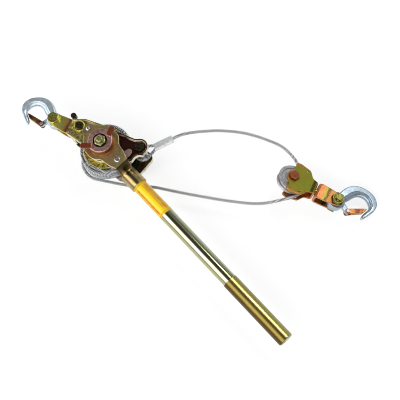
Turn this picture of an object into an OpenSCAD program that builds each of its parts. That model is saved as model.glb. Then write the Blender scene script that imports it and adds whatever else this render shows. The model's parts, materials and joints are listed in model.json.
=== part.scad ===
// Hand-operated come along winch: ratchet drum in a stamped frame, a yoke handle with a tubular
// grip, a fixed clevis hook, and a doubled wire rope with a travelling sheave block and hook.
// Millimetres. +Z is the drum axis, +X runs from the fixed hook to the travelling hook.
// The origin is the middle of the flat outer face of the axle bolt's head.

/* [Stack along the drum axis] */
// Half of the rope space between the drum flanges
rope_half = 17; // [15:0.5:20]
// Thickness of one drum flange
flange_t = 2; // [1.5:0.1:2.4]
// Thickness of one ratchet wheel
wheel_t = 3; // [2.5:0.1:4]
// Gap between a ratchet wheel and the side plate
wheel_gap = 0.5; // [0.3:0.1:0.8]
// Sheet thickness of the side plates
plate_t = 3; // [2.5:0.1:3.5]
// Height of the turned-out rim of the side plates
rim_h = 5.5; // [4.5:0.1:6]
// Gap between a side plate's face and the yoke leg over it
yoke_lift = 9.5; // [9:0.1:11]
// Sheet thickness of the yoke legs
yoke_t = 3; // [2.5:0.1:3.5]

/* [Drum and rope] */
// Wire rope diameter
rope_d = 4.8; // [4:0.1:5.4]
// Outer radius of the rope wound on the drum
rope_pack_r = 40.5; // [38:0.5:41]
// Radius of the drum flanges
flange_r = 33; // [32.5:0.1:34]
// Radius over the ratchet teeth
tooth_r = 31; // [30.5:0.1:31.5]
// Depth of a ratchet tooth
tooth_h = 4; // [3:0.1:4.5]
// Number of ratchet teeth
teeth = 24; // [24:12:24]
// Outer radius of the drum's steel core
core_r = 14; // [12:0.5:18]

/* [Axle] */
// Axle bolt diameter
axle_d = 10; // [9:0.5:11]
// Radius of the shoulder bush that the handle turns on
neck_r = 10; // [9.5:0.1:10.4]
// Radius of the foot of the shoulder bush
bush_r = 15; // [13:0.5:17]

/* [Frame] */
// Distance from the drum axis to the anchor bolt
anchor_x = 53.5; // [53:0.1:55]
// Height of the pull line over the drum axis
pull_y = 16; // [15:0.1:17]
// Distance from the drum axis back to the holding pawl's pin
pawl_x = 46; // [45.5:0.1:47]
// Distance from the drum axis back to the nose's outer face
nose_x = 64; // [63:0.1:66]
// Radius of the plate round the axle
bulge_r = 26; // [24:0.1:26.4]
// Radius of the lobe round the anchor bolt
lobe_r = 12.5; // [11.5:0.1:13]
// Radius of the anchor bolt
anchor_r = 4; // [3.5:0.1:4.5]

/* [Handle] */
// Angle of the handle from the pull line, at rest
handle_angle = -26.3; // [-28:0.1:-25]
// Distance from the drum axis to the handle's end
handle_len = 394; // [340:1:460]
// Outer radius of the handle tube
tube_r = 11; // [10.5:0.1:11.5]
// Wall of the handle tube
tube_wall = 1.5; // [1.2:0.1:2]
// Wall of the outer grip sleeve
sleeve_wall = 0.8; // [0.6:0.1:1.2]
// Distance from the drum axis to the start of the grip sleeve
sleeve_start = 277; // [240:1:300]
// Distance from the drum axis to the tube's inner end
tube_start = 51; // [50.5:0.1:56]
// Distance from the drum axis to the end of the yoke's clasp
clasp_end = 76; // [72:1:84]
// Radius of the yoke leg round the axle
yoke_r = 27; // [25:0.5:28]
// Length of the blank label round the tube
label_len = 62; // [40:1:80]

/* [Clevises and hooks] */
// Height of the swivel over the drum axis
swivel_y = 15; // [14:0.1:16]
// Direction in which the fixed clevis points
fixed_angle = 173; // [170:0.5:180]
// Inner half gap of a clevis
clevis_half = 7.6; // [7.2:0.1:8.4]
// Strap thickness of a clevis
strap_t = 3.5; // [3:0.1:4]
// Distance from the clevis web's outer face to its cross bolt
clevis_len = 34; // [32:0.5:38]
// Radius of a clevis cross bolt
cross_r = 5; // [4.5:0.1:5.5]
// Thickness of a hook's forging
hook_t = 13; // [12:0.1:14]

/* [Travelling block] */
// Place of the sheave's centre along the pull line
block_x = 280.3; // [270:0.1:290]
// Place of the sheave's centre across the pull line
block_y = 52.4; // [50:0.1:58]
// Drop of the sheave's centre below the drum's mid plane
block_drop = 5.3; // [3:0.1:8]
// Direction in which the block points
block_angle = -5.9; // [-12:0.1:-4]
// Angle by which the block leans down towards its hook
block_pitch = 11.4; // [8:0.1:13]
// Angle by which the block leans over on its long axis
block_roll = -25; // [-28:0.5:-15]
// Outer radius of the sheave
sheave_r = 22.5; // [21.5:0.5:24]
// Width of the sheave
sheave_w = 11; // [10:0.5:13]

/* [Hidden] */

$fn = 48;
run_gap = 0.08;      // radial clearance of a shaft in its bore
seat_gap = 0.3;      // gap between pieces of different bodies that face each other
hex_k = 1 / cos(30); // across-corners radius of a hexagon over its across-flats radius

wheel_out = rope_half + flange_t + wheel_t;      // outer face of a ratchet wheel
plate_in = wheel_out + wheel_gap;                // inner face of a side plate
plate_out = plate_in + plate_t;                  // outer face of a side plate
yoke_in = plate_out + yoke_lift;                 // inner face of a yoke leg
yoke_out = yoke_in + yoke_t;                     // outer face of a yoke leg
disc_base = yoke_out + seat_gap;                 // lower face of the release disc
disc_base_t = 5.2;                               // thickness of the disc's base
disc_h = 14;                                     // height of the release disc
disc_r = 18.8;                                   // radius of the disc's top
disc_hole_r = neck_r + 1;                        // recess in the disc round the nut
neck_top = disc_base + disc_base_t + seat_gap;   // end of the front bush's neck
washer_t = 1.8;
back_neck = yoke_out + seat_gap;                 // end of the back bush's neck
head_t = 6.4;                                    // height of the axle bolt's head
head_r = 8;                                      // half the width across its flats
axle_back = back_neck + washer_t + head_t;       // distance from mid plane to the rest face
nut_t = 9.5;
axle_tip = neck_top + washer_t + nut_t + 5;      // free end of the axle bolt
mid_z = axle_back;                               // height of the drum's mid plane

rope_r = rope_d / 2;
coil_r = rope_pack_r - rope_r;                   // centre line of the outer layer
under_r = coil_r - rope_r - 0.3;                 // radius of the layers below it

sheave_root = sheave_r - 5;                      // bottom of the sheave's groove
sheave_line = sheave_root + rope_r + 0.25;       // centre line of the rope on the sheave
sheave_half = sheave_w / 2;
cheek_in = sheave_half + 1;                      // inner face of the block's strap
cheek_t = 3;                                     // sheet thickness of the block's strap
cheek_out = cheek_in + cheek_t;
swivel_out = 38;                                 // distance from sheave centre to the bight's face
block_tilt = [block_roll, block_pitch, block_angle];

// Stainless, zinc and paint colours
gold = [0.74, 0.66, 0.36];
olive = [0.55, 0.52, 0.30];
copper = [0.72, 0.42, 0.30];
steel = [0.66, 0.69, 0.72];
dark = [0.33, 0.33, 0.27];
grey = [0.60, 0.61, 0.62];

// ---- plane geometry ----
function unit(v) = v / norm(v);
function heading(v) = atan2(v[1], v[0]);
function wrap(a) = a > 180 ? a - 360 : a < -180 ? a + 360 : a;
function arc(c, r, a0, a1, n = 12) = [for (i = [0:n]) c + r * [cos(a0 + (a1 - a0) * i / n), sin(a0 +
    (a1 - a0) * i / n)]];
function corner(p, c, q, r, n) =
    let (u = unit(p - c), v = unit(q - c), h = acos(u * v) / 2, m = c + unit(u + v) * r / sin(h))
    let (s = c + u * r / tan(h), e = c + v * r / tan(h), a0 = heading(s - m),
        d = wrap(heading(e - m) - a0))
    [for (k = [0:n]) m + r * [cos(a0 + d * k / n), sin(a0 + d * k / n)]];
// A closed outline through points [x, y, corner radius]
function outline(p, n = 6) =
    [for (i = [0:len(p) - 1]) let (c = p[i], a = p[(i + len(p) - 1) % len(p)], b = p[(i + 1) % len(p)])
        each c[2] == 0 ? [[c[0], c[1]]] : corner([a[0], a[1]], [c[0], c[1]], [b[0], b[1]], c[2], n)];
// The same anticlockwise outline moved inwards by d
function inset(p, d) =
    [for (i = [0:len(p) - 1]) let (a = p[(i + len(p) - 1) % len(p)], c = p[i], b = p[(i + 1) % len(p)])
        let (u = unit(c - a), v = unit(b - c), m = unit([-u[1] - v[1], u[0] + v[0]]))
        c + m * d / (m * [-u[1], u[0]])];

module at_mid() { translate([0, 0, mid_z]) children(); }
module slab(z0, z1) { translate([0, 0, z0]) linear_extrude(z1 - z0) children(); }
module rod(r, z0, z1) { translate([0, 0, z0]) cylinder(r = r, h = z1 - z0); }
module tube(r, bore, z0, z1) {
    difference() {
        rod(r, z0, z1);
        rod(bore, z0 - 1, z1 + 1);
    }
}
module hexagon(flat_r, z0, z1) { translate([0, 0, z0]) cylinder(r = flat_r * hex_k, h = z1 - z0,
    $fn = 6); }
// A hexagon with its corners turned down at the top
module hex_head(flat_r, z0, z1) {
    intersection() {
        hexagon(flat_r, z0, z1);
        rotate_extrude() polygon([[0, z0], [flat_r * 1.3, z0], [flat_r * 1.3, z1 - flat_r * 0.17],
            [flat_r * 0.95, z1], [0, z1]]);
    }
}
module in_handle() { rotate([0, 0, handle_angle]) children(); }
module along_handle() { rotate([0, 0, handle_angle]) rotate([0, 90, 0]) children(); }

// ---- frame ----
lobe_c = [anchor_x, pull_y];
plate_top = [[42, 25, 8], [16, 27, 20], [-10, 30, 20], [-42, 30, 12]];
function plate_common(left, lobe, low) = concat(
    arc(lobe_c, lobe, -35, 86, 14),
    outline([[lobe_c[0] + lobe * cos(98), lobe_c[1] + lobe * sin(98), 0], each plate_top,
        [left, 22.5, 7], [left, -0.5, 5], [-31, low, 0]]),
    arc([0, 0], bulge_r, -140, -44, 14));
front_outline = concat(plate_common(-nose_x, lobe_r, -9), outline([[22, -17.6, 0], [41, -17, 3],
    [45, -9.9, 3],
    [51, -11, 3], [53, 0.5, 9], [63.2, 4.5, 0]], 5));
back_outline = concat(plate_common(-nose_x + plate_t, lobe_r - 2, -7),
    outline([[22, -17.6, 0], [41, -17, 3], [45, -9.9, 3], [54.5, -12, 4], [60, 3, 0]], 5));

module side_plate(shape, left) {
    difference() {
        union() {
            slab(plate_in, plate_out) polygon(shape);
            difference() {
                slab(plate_out - 0.1, plate_out + rim_h) polygon(shape);
                slab(plate_out - 1, plate_out + rim_h + 1) polygon(inset(shape, plate_t * 0.9));
                translate([left - 5, -12, plate_out]) cube([5 + plate_t, 50, 20]);
            }
            // the nose tab that laps the other plate's
            translate([left, 2, -plate_in + 0.3]) cube([plate_t, 18.5, 2 * plate_in - 0.2]);
        }
        rod(axle_d / 2 + run_gap, plate_in - 1, plate_out + 1);
        translate([anchor_x, pull_y, 0]) rod(anchor_r + 0.1, plate_in - 1, plate_out + 1);
        translate([-pawl_x, pull_y, 0]) rod(anchor_r + 0.1, plate_in - 1, plate_out + 1);
        translate([-nose_x, swivel_y, 0]) rotate([0, 0, fixed_angle]) rotate([0, 90, 0]) rod(stud_r +
            run_gap, -15, 5);
    }
}
// room in the nose for the thumb lever's travel
module lever_notch() { translate([-nose_x - 1, 17.4, 11.6]) cube([2 * plate_t + 2, 10,
    plate_in - 11.8]); }
module front_side_plate() {
    at_mid() color(olive) difference() {
        side_plate(front_outline, -nose_x);
        lever_notch();
    }
}
module back_side_plate() {
    at_mid() color(olive) difference() {
        mirror([0, 0, 1]) side_plate(back_outline, -nose_x + plate_t);
        lever_notch();
    }
}

module axle_bolt() {
    at_mid() color(gold) union() {
        rod(axle_d / 2, -axle_back + head_t - 0.1, axle_tip - 1);
        translate([0, 0, axle_tip - 1]) rotate_extrude() polygon([[0, 0], [axle_d / 2, 0],
            [axle_d / 2 - 1, 1], [0, 1]]);
        mirror([0, 0, 1]) hex_head(head_r, axle_back - head_t, axle_back);
    }
}
module axle_nut() {
    z = neck_top + washer_t;
    at_mid() color(gold) difference() {
        union() {
            hex_head(head_r, z, z + nut_t - 2);
            rod(7.2, z + nut_t - 2.1, z + nut_t);
        }
        rod(axle_d / 2, z - 1, z + nut_t + 1);
    }
}
module front_axle_washer() {
    at_mid() color(dark) tube(neck_r + 0.5, axle_d / 2 + run_gap, neck_top, neck_top + washer_t);
    at_mid() mirror([0, 0, 1]) color(dark) tube(neck_r + 3, axle_d / 2 + run_gap, back_neck,
        back_neck + washer_t);
}
module shoulder_bush(neck_end) {
    difference() {
        rotate_extrude() polygon([[0, plate_out], [bush_r, plate_out], [bush_r, yoke_in - seat_gap - 1],
            [bush_r - 1, yoke_in - seat_gap], [neck_r, yoke_in - seat_gap], [neck_r, neck_end], [0,
                neck_end]]);
        rod(axle_d / 2 + run_gap, plate_out - 1, neck_end + 1);
    }
}
module front_shoulder_bush() { at_mid() color(gold) shoulder_bush(neck_top); }
module back_shoulder_bush() { at_mid() mirror([0, 0, 1]) color(gold) shoulder_bush(back_neck); }

module anchor_bolt() {
    at_mid() translate([anchor_x, pull_y, 0]) color(dark) union() {
        hex_head(6.5, plate_out, plate_out + 5.3);
        rod(anchor_r, -plate_out - 8, plate_out + 0.1);
    }
}
module anchor_nut() {
    at_mid() translate([anchor_x, pull_y, 0]) mirror([0, 0, 1]) color(dark) difference() {
        hex_head(6.5, plate_out, plate_out + 6.5);
        rod(anchor_r, plate_out - 1, plate_out + 9);
    }
}
spacer_r = 6.5;
module anchor_spacer() {
    at_mid() translate([anchor_x, pull_y, 0]) color(steel) tube(spacer_r, anchor_r + run_gap, -plate_in,
        plate_in);
}
// The rope's dead end: an eye round the spacer, closed by a pressed ferrule
eye_angle = 47;
eye_neck = 18.5;     // distance from the anchor bolt to the ferrule
ferrule_len = 32;
thimble_r = spacer_r + 0.3;
eye_r = thimble_r + 1.6 + rope_r;
module at_eye() { at_mid() translate([anchor_x, pull_y, 0]) rotate([0, 0, eye_angle]) children(); }
module rope_thimble() {
    at_eye() color(grey) rotate([0, 0, 55]) rotate_extrude(angle = 250)
        polygon([[thimble_r, -3.4], [thimble_r + 3.2, -3.4], [thimble_r + 1.4, -1.8], [thimble_r + 1.4,
            1.8],
            [thimble_r + 3.2, 3.4], [thimble_r, 3.4]]);
}
leg_gap = rope_r + 0.05;
leg_turn = acos(leg_gap / eye_r) * 0.86;
leg_from = eye_r * [cos(leg_turn), sin(leg_turn)];
module rope_eye() {
    leg = [eye_neck + 3, leg_gap] - leg_from;
    at_eye() color(grey) union() {
        rotate([0, 0, leg_turn]) rotate_extrude(angle = 360 - 2 * leg_turn) translate([eye_r, 0])
            circle(r = rope_r, $fn = 16);
        for (s = [1, -1]) {
            translate([leg_from[0], s * leg_from[1], 0]) rotate([0, 0,
                s * heading(leg)]) rotate([0, 90, 0])
                cylinder(r = rope_r, h = norm(leg), $fn = 16);
        }
    }
}
module rope_ferrule() {
    at_eye() color([0.82, 0.83, 0.84]) difference() {
        translate([eye_neck, 0, 0]) rotate([0, 90, 0]) linear_extrude(ferrule_len)
            polygon(concat(arc([0, 2.2], 4, 0, 180, 14), arc([0, -2.2], 4, 180, 360, 14)));
        for (s = [1, -1]) {
            leg = [eye_neck + 3, leg_gap] - leg_from;
            translate([leg_from[0], s * leg_from[1], 0]) rotate([0, 0,
                s * heading(leg)]) rotate([0, 90, 0])
                cylinder(r = rope_r + 0.02, h = norm(leg) + 0.05, $fn = 16);
        }
    }
}
module pawl_pin() {
    at_mid() translate([-pawl_x, pull_y, 0]) color(dark) union() {
        rotate_extrude() polygon([[0, plate_out + 6], [6.5, plate_out + 6], [6.5, plate_out + 7.8],
            [5.4,
            plate_out + 8.6], [0, plate_out + 8.6]]);
        rod(anchor_r, -plate_out - 1.5, plate_out + 6.1);
        rod(5.6, -plate_out - 3.5, -plate_out);
    }
}

// ---- swept tubes ----
function cross3(a, b) = [a[1] * b[2] - a[2] * b[1], a[2] * b[0] - a[0] * b[2],
    a[0] * b[1] - a[1] * b[0]];
// Ring of a tube at p, facing along t, starting from the side given by n
function ring(p, t, n, r, sides) = let (b = cross3(t, n)) [for (k = [0:sides - 1]) p +
    r * (n * cos(360 * k / sides) + b * sin(360 * k / sides))];
function carry(n, t) = unit(n - t * (n * t));
function facing(path) = [for (i = [0:len(path) - 1]) unit(path[min(i + 1, len(path)
    - 1)] - path[max(i - 1, 0)])];
function frames(t, n) = [for (i = 0, m = carry(n, t[0]); i < len(t); i = i + 1,
    m = i < len(t) ? carry(m,
    t[i]) : m) m];
module sweep(path, r, sides, n0 = [0, 0, 1]) {
    t = facing(path);
    n = frames(t, n0);
    count = len(path);
    pts = [for (i = [0:count - 1]) each ring(path[i], t[i], n[i], r, sides)];
    walls = [for (i = [0:count - 2]) for (k = [0:sides - 1]) let (a = i * sides + k, b = i * sides +
        (k + 1) % sides)
        each [[a, b, b + sides], [a, b + sides, a + sides]]];
    caps = [for (k = [1:sides - 2]) each [[0, k + 1, k], [(count - 1) * sides, (count - 1) * sides + k,
        (count - 1) * sides + k + 1]]];
    polyhedron(points = pts, faces = concat([for (f = walls) [f[2], f[1], f[0]]], [for (f = caps) [f[2],
        f[1], f[0]]]));
}
// Smooth points through a route, by Catmull-Rom spans of n steps
function spline(p, n) = [for (i = [0:len(p) - 2]) let (a = p[max(i - 1, 0)], b = p[i], c = p[i + 1],
    d = p[min(i + 2, len(p) - 1)])
    for (k = [0:(i == len(p) - 2 ? n : n - 1)]) let (s = k / n)
        0.5 * (2 * b + (c - a) * s + (2 * a - 5 * b + 4 * c - d) * s * s + (3 * b - a - 3 * c + d)
            * s * s * s)];

// Torsion spring on the holding pawl's pin, between the plate and the pin's head
coil_wire = 0.85;
coil_turns = 2;
coil_steps = 16;
spring_mid = 7.8;
spring_low = plate_out + coil_wire + 0.2;
spring_path = concat(
    [[-spring_mid, 5, spring_low], [-spring_mid, 2.5, spring_low]],
    [for (i = [0:coil_steps * coil_turns]) let (a = 180 + 360 * i / coil_steps)
        [spring_mid * cos(a), spring_mid * sin(a), spring_low + 2.4 * i / coil_steps]],
    [[-spring_mid, -5, spring_low + 4.8], [-spring_mid, -9, spring_low + 4.8]]);
module pawl_spring() { at_mid() translate([-pawl_x, pull_y, 0]) color([0.85, 0.75, 0.2])
    sweep(spring_path, coil_wire, 6); }

// ---- drum ----
core_bore = 8;
module drum_core() { at_mid() color(steel) tube(core_r, core_bore, -rope_half, rope_half); }
module drum_bush() {
    at_mid() color([0.72, 0.55, 0.3]) tube(core_bore, axle_d / 2 + run_gap, -wheel_out, wheel_out);
}
module drum_flanges() {
    at_mid() color(gold) for (s = [0, 1]) mirror([0, 0, s]) tube(flange_r, core_bore, rope_half,
        rope_half + flange_t);
}
pitch_a = 360 / teeth;
face_a = 142.25;     // angle of the tooth face that the holding pawl stops
function polar(r, a) = [r * cos(a), r * sin(a)];
function tooth(i) = let (a = face_a + i * pitch_a) [
    polar(tooth_r - tooth_h, a),
    polar(tooth_r - tooth_h, a + 0.2 * pitch_a),
    polar(tooth_r, a + 0.42 * pitch_a),
    polar(tooth_r, a + 0.55 * pitch_a),
    polar(tooth_r - tooth_h, a + 0.96 * pitch_a)
];
module ratchet_wheels() {
    at_mid() color(gold) for (s = [-1, 1]) difference() {
        translate([0, 0, s > 0 ? rope_half + flange_t : -wheel_out]) linear_extrude(wheel_t)
            polygon([for (i = [0:teeth - 1]) each tooth(i)]);
        rod(core_bore, -wheel_out - 1, wheel_out + 1);
    }
}
module rope_lower_layers() { at_mid() color(grey) tube(under_r, core_r, -rope_half + 0.2,
    rope_half - 0.2); }

// Outer layer of rope: one unbroken tube that climbs the drum at a steady rate
wind_turns = 4.75;
wind_steps = 24;
wind_from = -168;    // angle on the drum where the free rope leaves
wind_end = rope_half - rope_r - 0.6;
wind_count = wind_turns * wind_steps;
leave_z = -12.4;       // height at which the free rope leaves, from the mid plane
function wind_z(i) = leave_z + (wind_end - leave_z) * i / wind_count;
function wind_point(i) = let (a = wind_from - 360 * i / wind_steps) [coil_r * cos(a), coil_r * sin(a),
    wind_z(i)];
wind_path = [for (i = [0:wind_count]) wind_point(i)];
// Least distance between a point of the layer and the layer a turn on, less the rope's own diameter
wind_gap = min([for (i = [0:wind_count - wind_steps]) min([for (k = [-2:2]) let (j = i + wind_steps + k)
    j <= wind_count && j >= 0 ? norm(wind_path[i] - wind_path[j]) - rope_d : 99])]);
echo(least_gap_between_turns = wind_gap);
wind_last = wind_point(wind_count);
wind_dir = unit(wind_last - wind_point(wind_count - 1));
module rope_outer_layer() {
    ahead = unit([coil_r * cos(wind_from + 90), coil_r * sin(wind_from + 90), 0]);
    at_mid() color(grey) sweep(concat([wind_path[0] + ahead * rope_d], [wind_path[0] +
        ahead * rope_d * 0.4], [for (i = [1:wind_count]) wind_path[i]],
        [wind_last + wind_dir * rope_d]), rope_r, 6, [0, 0, 1]);
}

// ---- handle ----
neck_w = 10.6;       // half width of a leg where it bends in
step_from = 45.5;    // where a leg starts to bend in towards the tube
leg_half = [[step_from, neck_w, 0], [32, 15.6, 14], [19, 17.4, 12], [8, yoke_r, 16], [-12, yoke_r, 18],
    [-27, 14.6, 14], [-39, 6, 4]];
leg_outline = outline(concat([for (i = [len(leg_half) - 1:-1:0]) [leg_half[i][0], -leg_half[i][1],
    leg_half[i][2]]], leg_half));
clasp_in = tube_r + 0.02;
clasp_t = 2.4;
clasp_out = clasp_in + clasp_t;
module yoke_leg() {
    difference() {
        union() {
            slab(yoke_in, yoke_out) polygon(leg_outline);
            // the step down to the tube and the half clasp
            rotate([90, 0, 0]) translate([0, 0, -neck_w]) linear_extrude(2 * neck_w)
                polygon([[step_from - 1, yoke_out], [step_from - 1, yoke_in], [step_from + 0.6,
                    yoke_in],
                    [step_from + 1.4, clasp_in - 1], [step_from + 5, clasp_in - 1],
                        [step_from + 4.6, clasp_out],
                    [step_from + 3, yoke_out - 1.2], [step_from + 2, yoke_out]]);
            intersection() {
                rotate([0, 90, 0]) rod(clasp_out, step_from + 3.4, clasp_end);
                translate([step_from, -20, 0.4]) cube([40, 40, 40]);
            }
        }
        rod(neck_r + run_gap, yoke_in - 1, yoke_out + 1);
        rotate([0, 90, 0]) rod(clasp_in, tube_start - 2, clasp_end + 1);
        translate([35.3, 0, 0]) rod(3, yoke_in - 1, yoke_out + 1);
        translate([-33, 0, 0]) rod(2.5, yoke_in - 1, yoke_out + 1);
    }
}
module front_yoke_leg() { at_mid() in_handle() color(gold) yoke_leg(); }
module back_yoke_leg() { at_mid() in_handle() mirror([0, 0, 1]) color(gold) yoke_leg(); }
module yoke_rivets() {
    at_mid() in_handle() color(steel) for (s = [0, 1]) mirror([0, 0, s]) {
        translate([-33, 0, 0]) union() {
            rod(2.5, yoke_in, yoke_out + 0.1);
            translate([0, 0, yoke_out]) rotate_extrude() polygon([[0, 0], [3.4, 0], [3.1, 1], [2, 1.7],
                [0, 1.9]]);
        }
    }
}
module handle_tube() { at_mid() along_handle() color(gold) tube(tube_r, tube_r - tube_wall, tube_start,
    handle_len - 2); }
module grip_sleeve() {
    sr = tube_r + sleeve_wall;
    at_mid() along_handle() color([0.6, 0.5, 0.28]) difference() {
        rotate_extrude() polygon([[0, sleeve_start], [sr, sleeve_start], [sr, handle_len - 1.5],
            [sr - 1.5, handle_len], [0, handle_len]]);
        rod(tube_r, sleeve_start - 1, handle_len - 2);
    }
}
module handle_label() {
    at_mid() along_handle() color([0.98, 0.85, 0.1]) tube(tube_r + 0.3, tube_r, clasp_end + 0.5,
        clasp_end + 0.5 + label_len);
}
// The drive pawl swings on a pin in the legs and bends down outside the plates to the ratchet wheels' teeth
drive_x = 35.3;
drive_z0 = plate_out + rim_h + 0.5;
drive_z1 = yoke_in - seat_gap;
drive_throw = 16;    // angle from the let-off rest to full engagement
drive_face = -25.8;  // angle of the pawl's driving face from the handle, when engaged
module drive_pawl_pins() {
    at_mid() in_handle() color(steel) for (s = [0, 1]) mirror([0, 0, s]) translate([drive_x, 0, 0])
        union() {
        rod(3, drive_z0, yoke_out + 0.1);
        translate([0, 0, yoke_out]) rotate_extrude() polygon([[0, 0], [4.6, 0], [4.3, 1], [3, 1.9],
            [1.6,
            1.9], [1.2, 1.3], [0, 1.3]]);
    }
}
module drive_pawl() {
    nose = [polar(27.7, drive_face), polar(27.7, drive_face + 2), polar(31.6, drive_face + 5.6),
        [35, -9.5],
        [32.5, -15.6], polar(31.6, drive_face)];
    at_mid() in_handle() color(copper) for (s = [0, 1]) mirror([0, 0, s]) difference() {
        union() {
            translate([drive_x, 0, 0]) rotate([0, 0, drive_throw]) translate([-drive_x, 0, 0])
                slab(nose_z, drive_z1) polygon(nose);
            translate([drive_x, 0, 0]) rod(6.4, drive_z0, drive_z1);
            slab(drive_z0, drive_z1) polygon(outline([[29.5, 1, 0], [40.8, 2, 0], [42.8, 17, 5], [40.5,
                25.2, 4], [33.5, 25.2, 4], [31.2, 14, 4]]));
            slab(drive_z0, drive_z1) polygon([[41.4, -2], [38, -14.8], [30.6, -15.6], [29.5, -2]]);
        }
        translate([drive_x, 0, 0]) rod(3 + run_gap, drive_z0 - 1, drive_z1 + 1);
    }
}
// The two thumb ears' centre lines, root to tip, in the handle's own plan
ears = [[[3.1, 14.7], [-2.7, 27.7]], [[-3.1, -15.6], [-14.2, -26.8]]];
module release_disc() {
    top = disc_base + disc_h;
    at_mid() in_handle() color(copper) difference() {
        union() {
            rotate_extrude() polygon([[0, disc_base], [disc_r + 1.2, disc_base], [disc_r + 1.2,
                disc_base + 1.4],
                [disc_r + 0.4, disc_base + 2.4], [disc_r, disc_base + 3.4], [disc_r, top - 1.2],
                [disc_r - 0.4, top - 0.4], [disc_r - 1.2, top], [0, top]]);
            for (e = ears) translate([e[0][0], e[0][1], top]) rotate([0, 0, heading(e[1] - e[0])]) {
                reach = norm(e[1] - e[0]);
                slab(-1.6, 1) polygon(outline([[-1, -3.8, 1], [reach, -4.2, 2.5], [reach, 4.2,
                    2.5], [-1, 3.8, 1]]));
                slab(-4.5, 0.9) polygon(outline([[reach - 2.6, -3.2, 0.8], [reach - 0.1, -2.6, 0.8],
                    [reach - 0.1, 2.6, 0.8], [reach - 2.6, 3.2, 0.8]]));
            }
        }
        rod(neck_r + run_gap, disc_base - 1, disc_base + disc_h + 1);
        rod(disc_hole_r, disc_base + disc_base_t, disc_base + disc_h + 1);
    }
}

// ---- holding pawl ----
pawl_hub = 5.3;
nose_z = rope_half + flange_t + 0.3;
module holding_pawl() {
    at_mid() translate([-pawl_x, pull_y, 0]) color(dark) difference() {
        union() {
            rod(pawl_hub, -wheel_out, wheel_out);
            for (s = [0, 1]) mirror([0, 0, s]) {
                slab(nose_z, wheel_out) polygon(outline([[-2, -4.9, 0], [8, -6.2, 4], [16.2, -4.6, 0],
                    [18.3, 0, 0], [23.9, 0.7, 0], [20.9, 3, 0], [12, 5.8, 4], [-2, 4.9, 0]]));
            }
            slab(12, wheel_out) polygon(outline([[-2, 5.2, 0], [-18, 16.6, 0], [-21, 12.8, 0], [-5, 1,
                0]]));
            translate([-20, 15.6, 0]) rod(4.4, 12, wheel_out);
        }
        rod(anchor_r + run_gap, -wheel_out - 1, wheel_out + 1);
    }
}

// Clevis, hook and latch, shared by both ends; x runs outwards from the swivel, z along the cross bolt
stud_r = 4.9;
web_in = 1.2;        // play between the swivel's seat and the clevis web
module swivel_stud(behind, head) {
    rotate([0, 90, 0]) union() {
        rod(stud_r, -behind - 0.1, web_in + strap_t + 0.1);
        rod(head, -behind - 3.5, -behind);
        rotate_extrude() polygon([[0, web_in + strap_t], [5.4, web_in + strap_t], [5.1, web_in +
            strap_t + 1.8], [4, web_in + strap_t + 3], [0, web_in + strap_t + 3]]);
    }
}
clevis_out = clevis_half + strap_t;
module clevis() {
    side = outline([[web_in + 3, -12, 3], [16, -11.5, 12], [clevis_len - 2, -10, 9], [clevis_len + 9.5,
        -8, 7],
        [clevis_len + 9.5, 8, 7], [clevis_len - 2, 10, 9], [16, 11.5, 12], [web_in + 3, 12, 3]]);
    difference() {
        union() {
            for (s = [0, 1]) mirror([0, 0, s]) slab(clevis_half, clevis_out) polygon(side);
            rotate([90, 0, 0]) translate([0, 0, -12]) linear_extrude(24)
                polygon(concat(arc([web_in + 6, clevis_out - 6], 6, 90, 180, 6), arc([web_in + 6,
                    -clevis_out + 6], 6, 180, 270, 6),
                    arc([web_in + 6, -clevis_out + 6], 6 - strap_t, 270, 180, 6), arc([web_in + 6,
                        clevis_out - 6], 6 - strap_t, 180, 90, 6)));
        }
        rotate([0, 90, 0]) rod(stud_r + 0.02, -1, web_in + strap_t + 1);
        translate([clevis_len, 0, 0]) rod(cross_r + run_gap, -clevis_out - 1, clevis_out + 1);
    }
}
module clevis_bolt() {
    translate([clevis_len, 0, 0]) union() {
        hex_head(8.5, clevis_out, clevis_out + 6.4);
        rod(cross_r, -clevis_out - 9.5, clevis_out + 0.1);
    }
}
module clevis_nut() {
    translate([clevis_len, 0, 0]) mirror([0, 0, 1]) difference() {
        union() {
            hex_head(8.5, clevis_out, clevis_out + 6);
            rod(6.6, clevis_out + 5.9, clevis_out + 8.2);
        }
        rod(cross_r, clevis_out - 1, clevis_out + 10);
        for (a = [0, 60, 120]) rotate([0, 0, a]) translate([-8, -1.1, clevis_out + 6.5]) cube([16,
            2.2, 4]);
    }
}
// Hook, in its own place: the eye at the origin, the bowl outwards, the mouth towards +y
eye_out = 12.5;
latch_at = [16.6, 14.2];
// Centre line of the forging: x, y, half width in the plane of the bowl, half thickness across it
hook_line = [
    [4, -2.5, 7.5, 5.5], [10, -6.5, 7.8, 5.9], [16, -11, 8.7, 6.1], [22.3, -15.4, 8.8, 6.2], [28.5,
        -17.6, 8.5, 6.2],
    [35.7, -17.7, 7.7, 6.1], [42.5, -15.4, 7, 6], [48.7, -11.2, 6.9, 5.9], [52.9, -5.4, 6.9, 5.8],
        [54.4,
        1.1, 6.4, 5.6],
    [53.2, 6.8, 4.9, 5.2], [49.4, 11.8, 3.7, 4.8], [44.8, 15.8, 3.3, 4.4], [40.7, 19.2, 2.9, 3.8],
        [37.9,
        22.3, 2.1, 2.9],
    [36.6, 24.3, 0.8, 1.2]
];
function along(p, n) = [for (i = [0:len(p) - 2]) let (a = p[max(i - 1, 0)], b = p[i], c = p[i + 1],
    d = p[min(i + 2, len(p) - 1)])
    for (k = [0:(i == len(p) - 2 ? n : n - 1)]) let (s = k / n)
        0.5 * (2 * b + (c - a) * s + (2 * a - 5 * b + 4 * c - d) * s * s + (3 * b - a - 3 * c + d)
            * s * s * s)];
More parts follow.
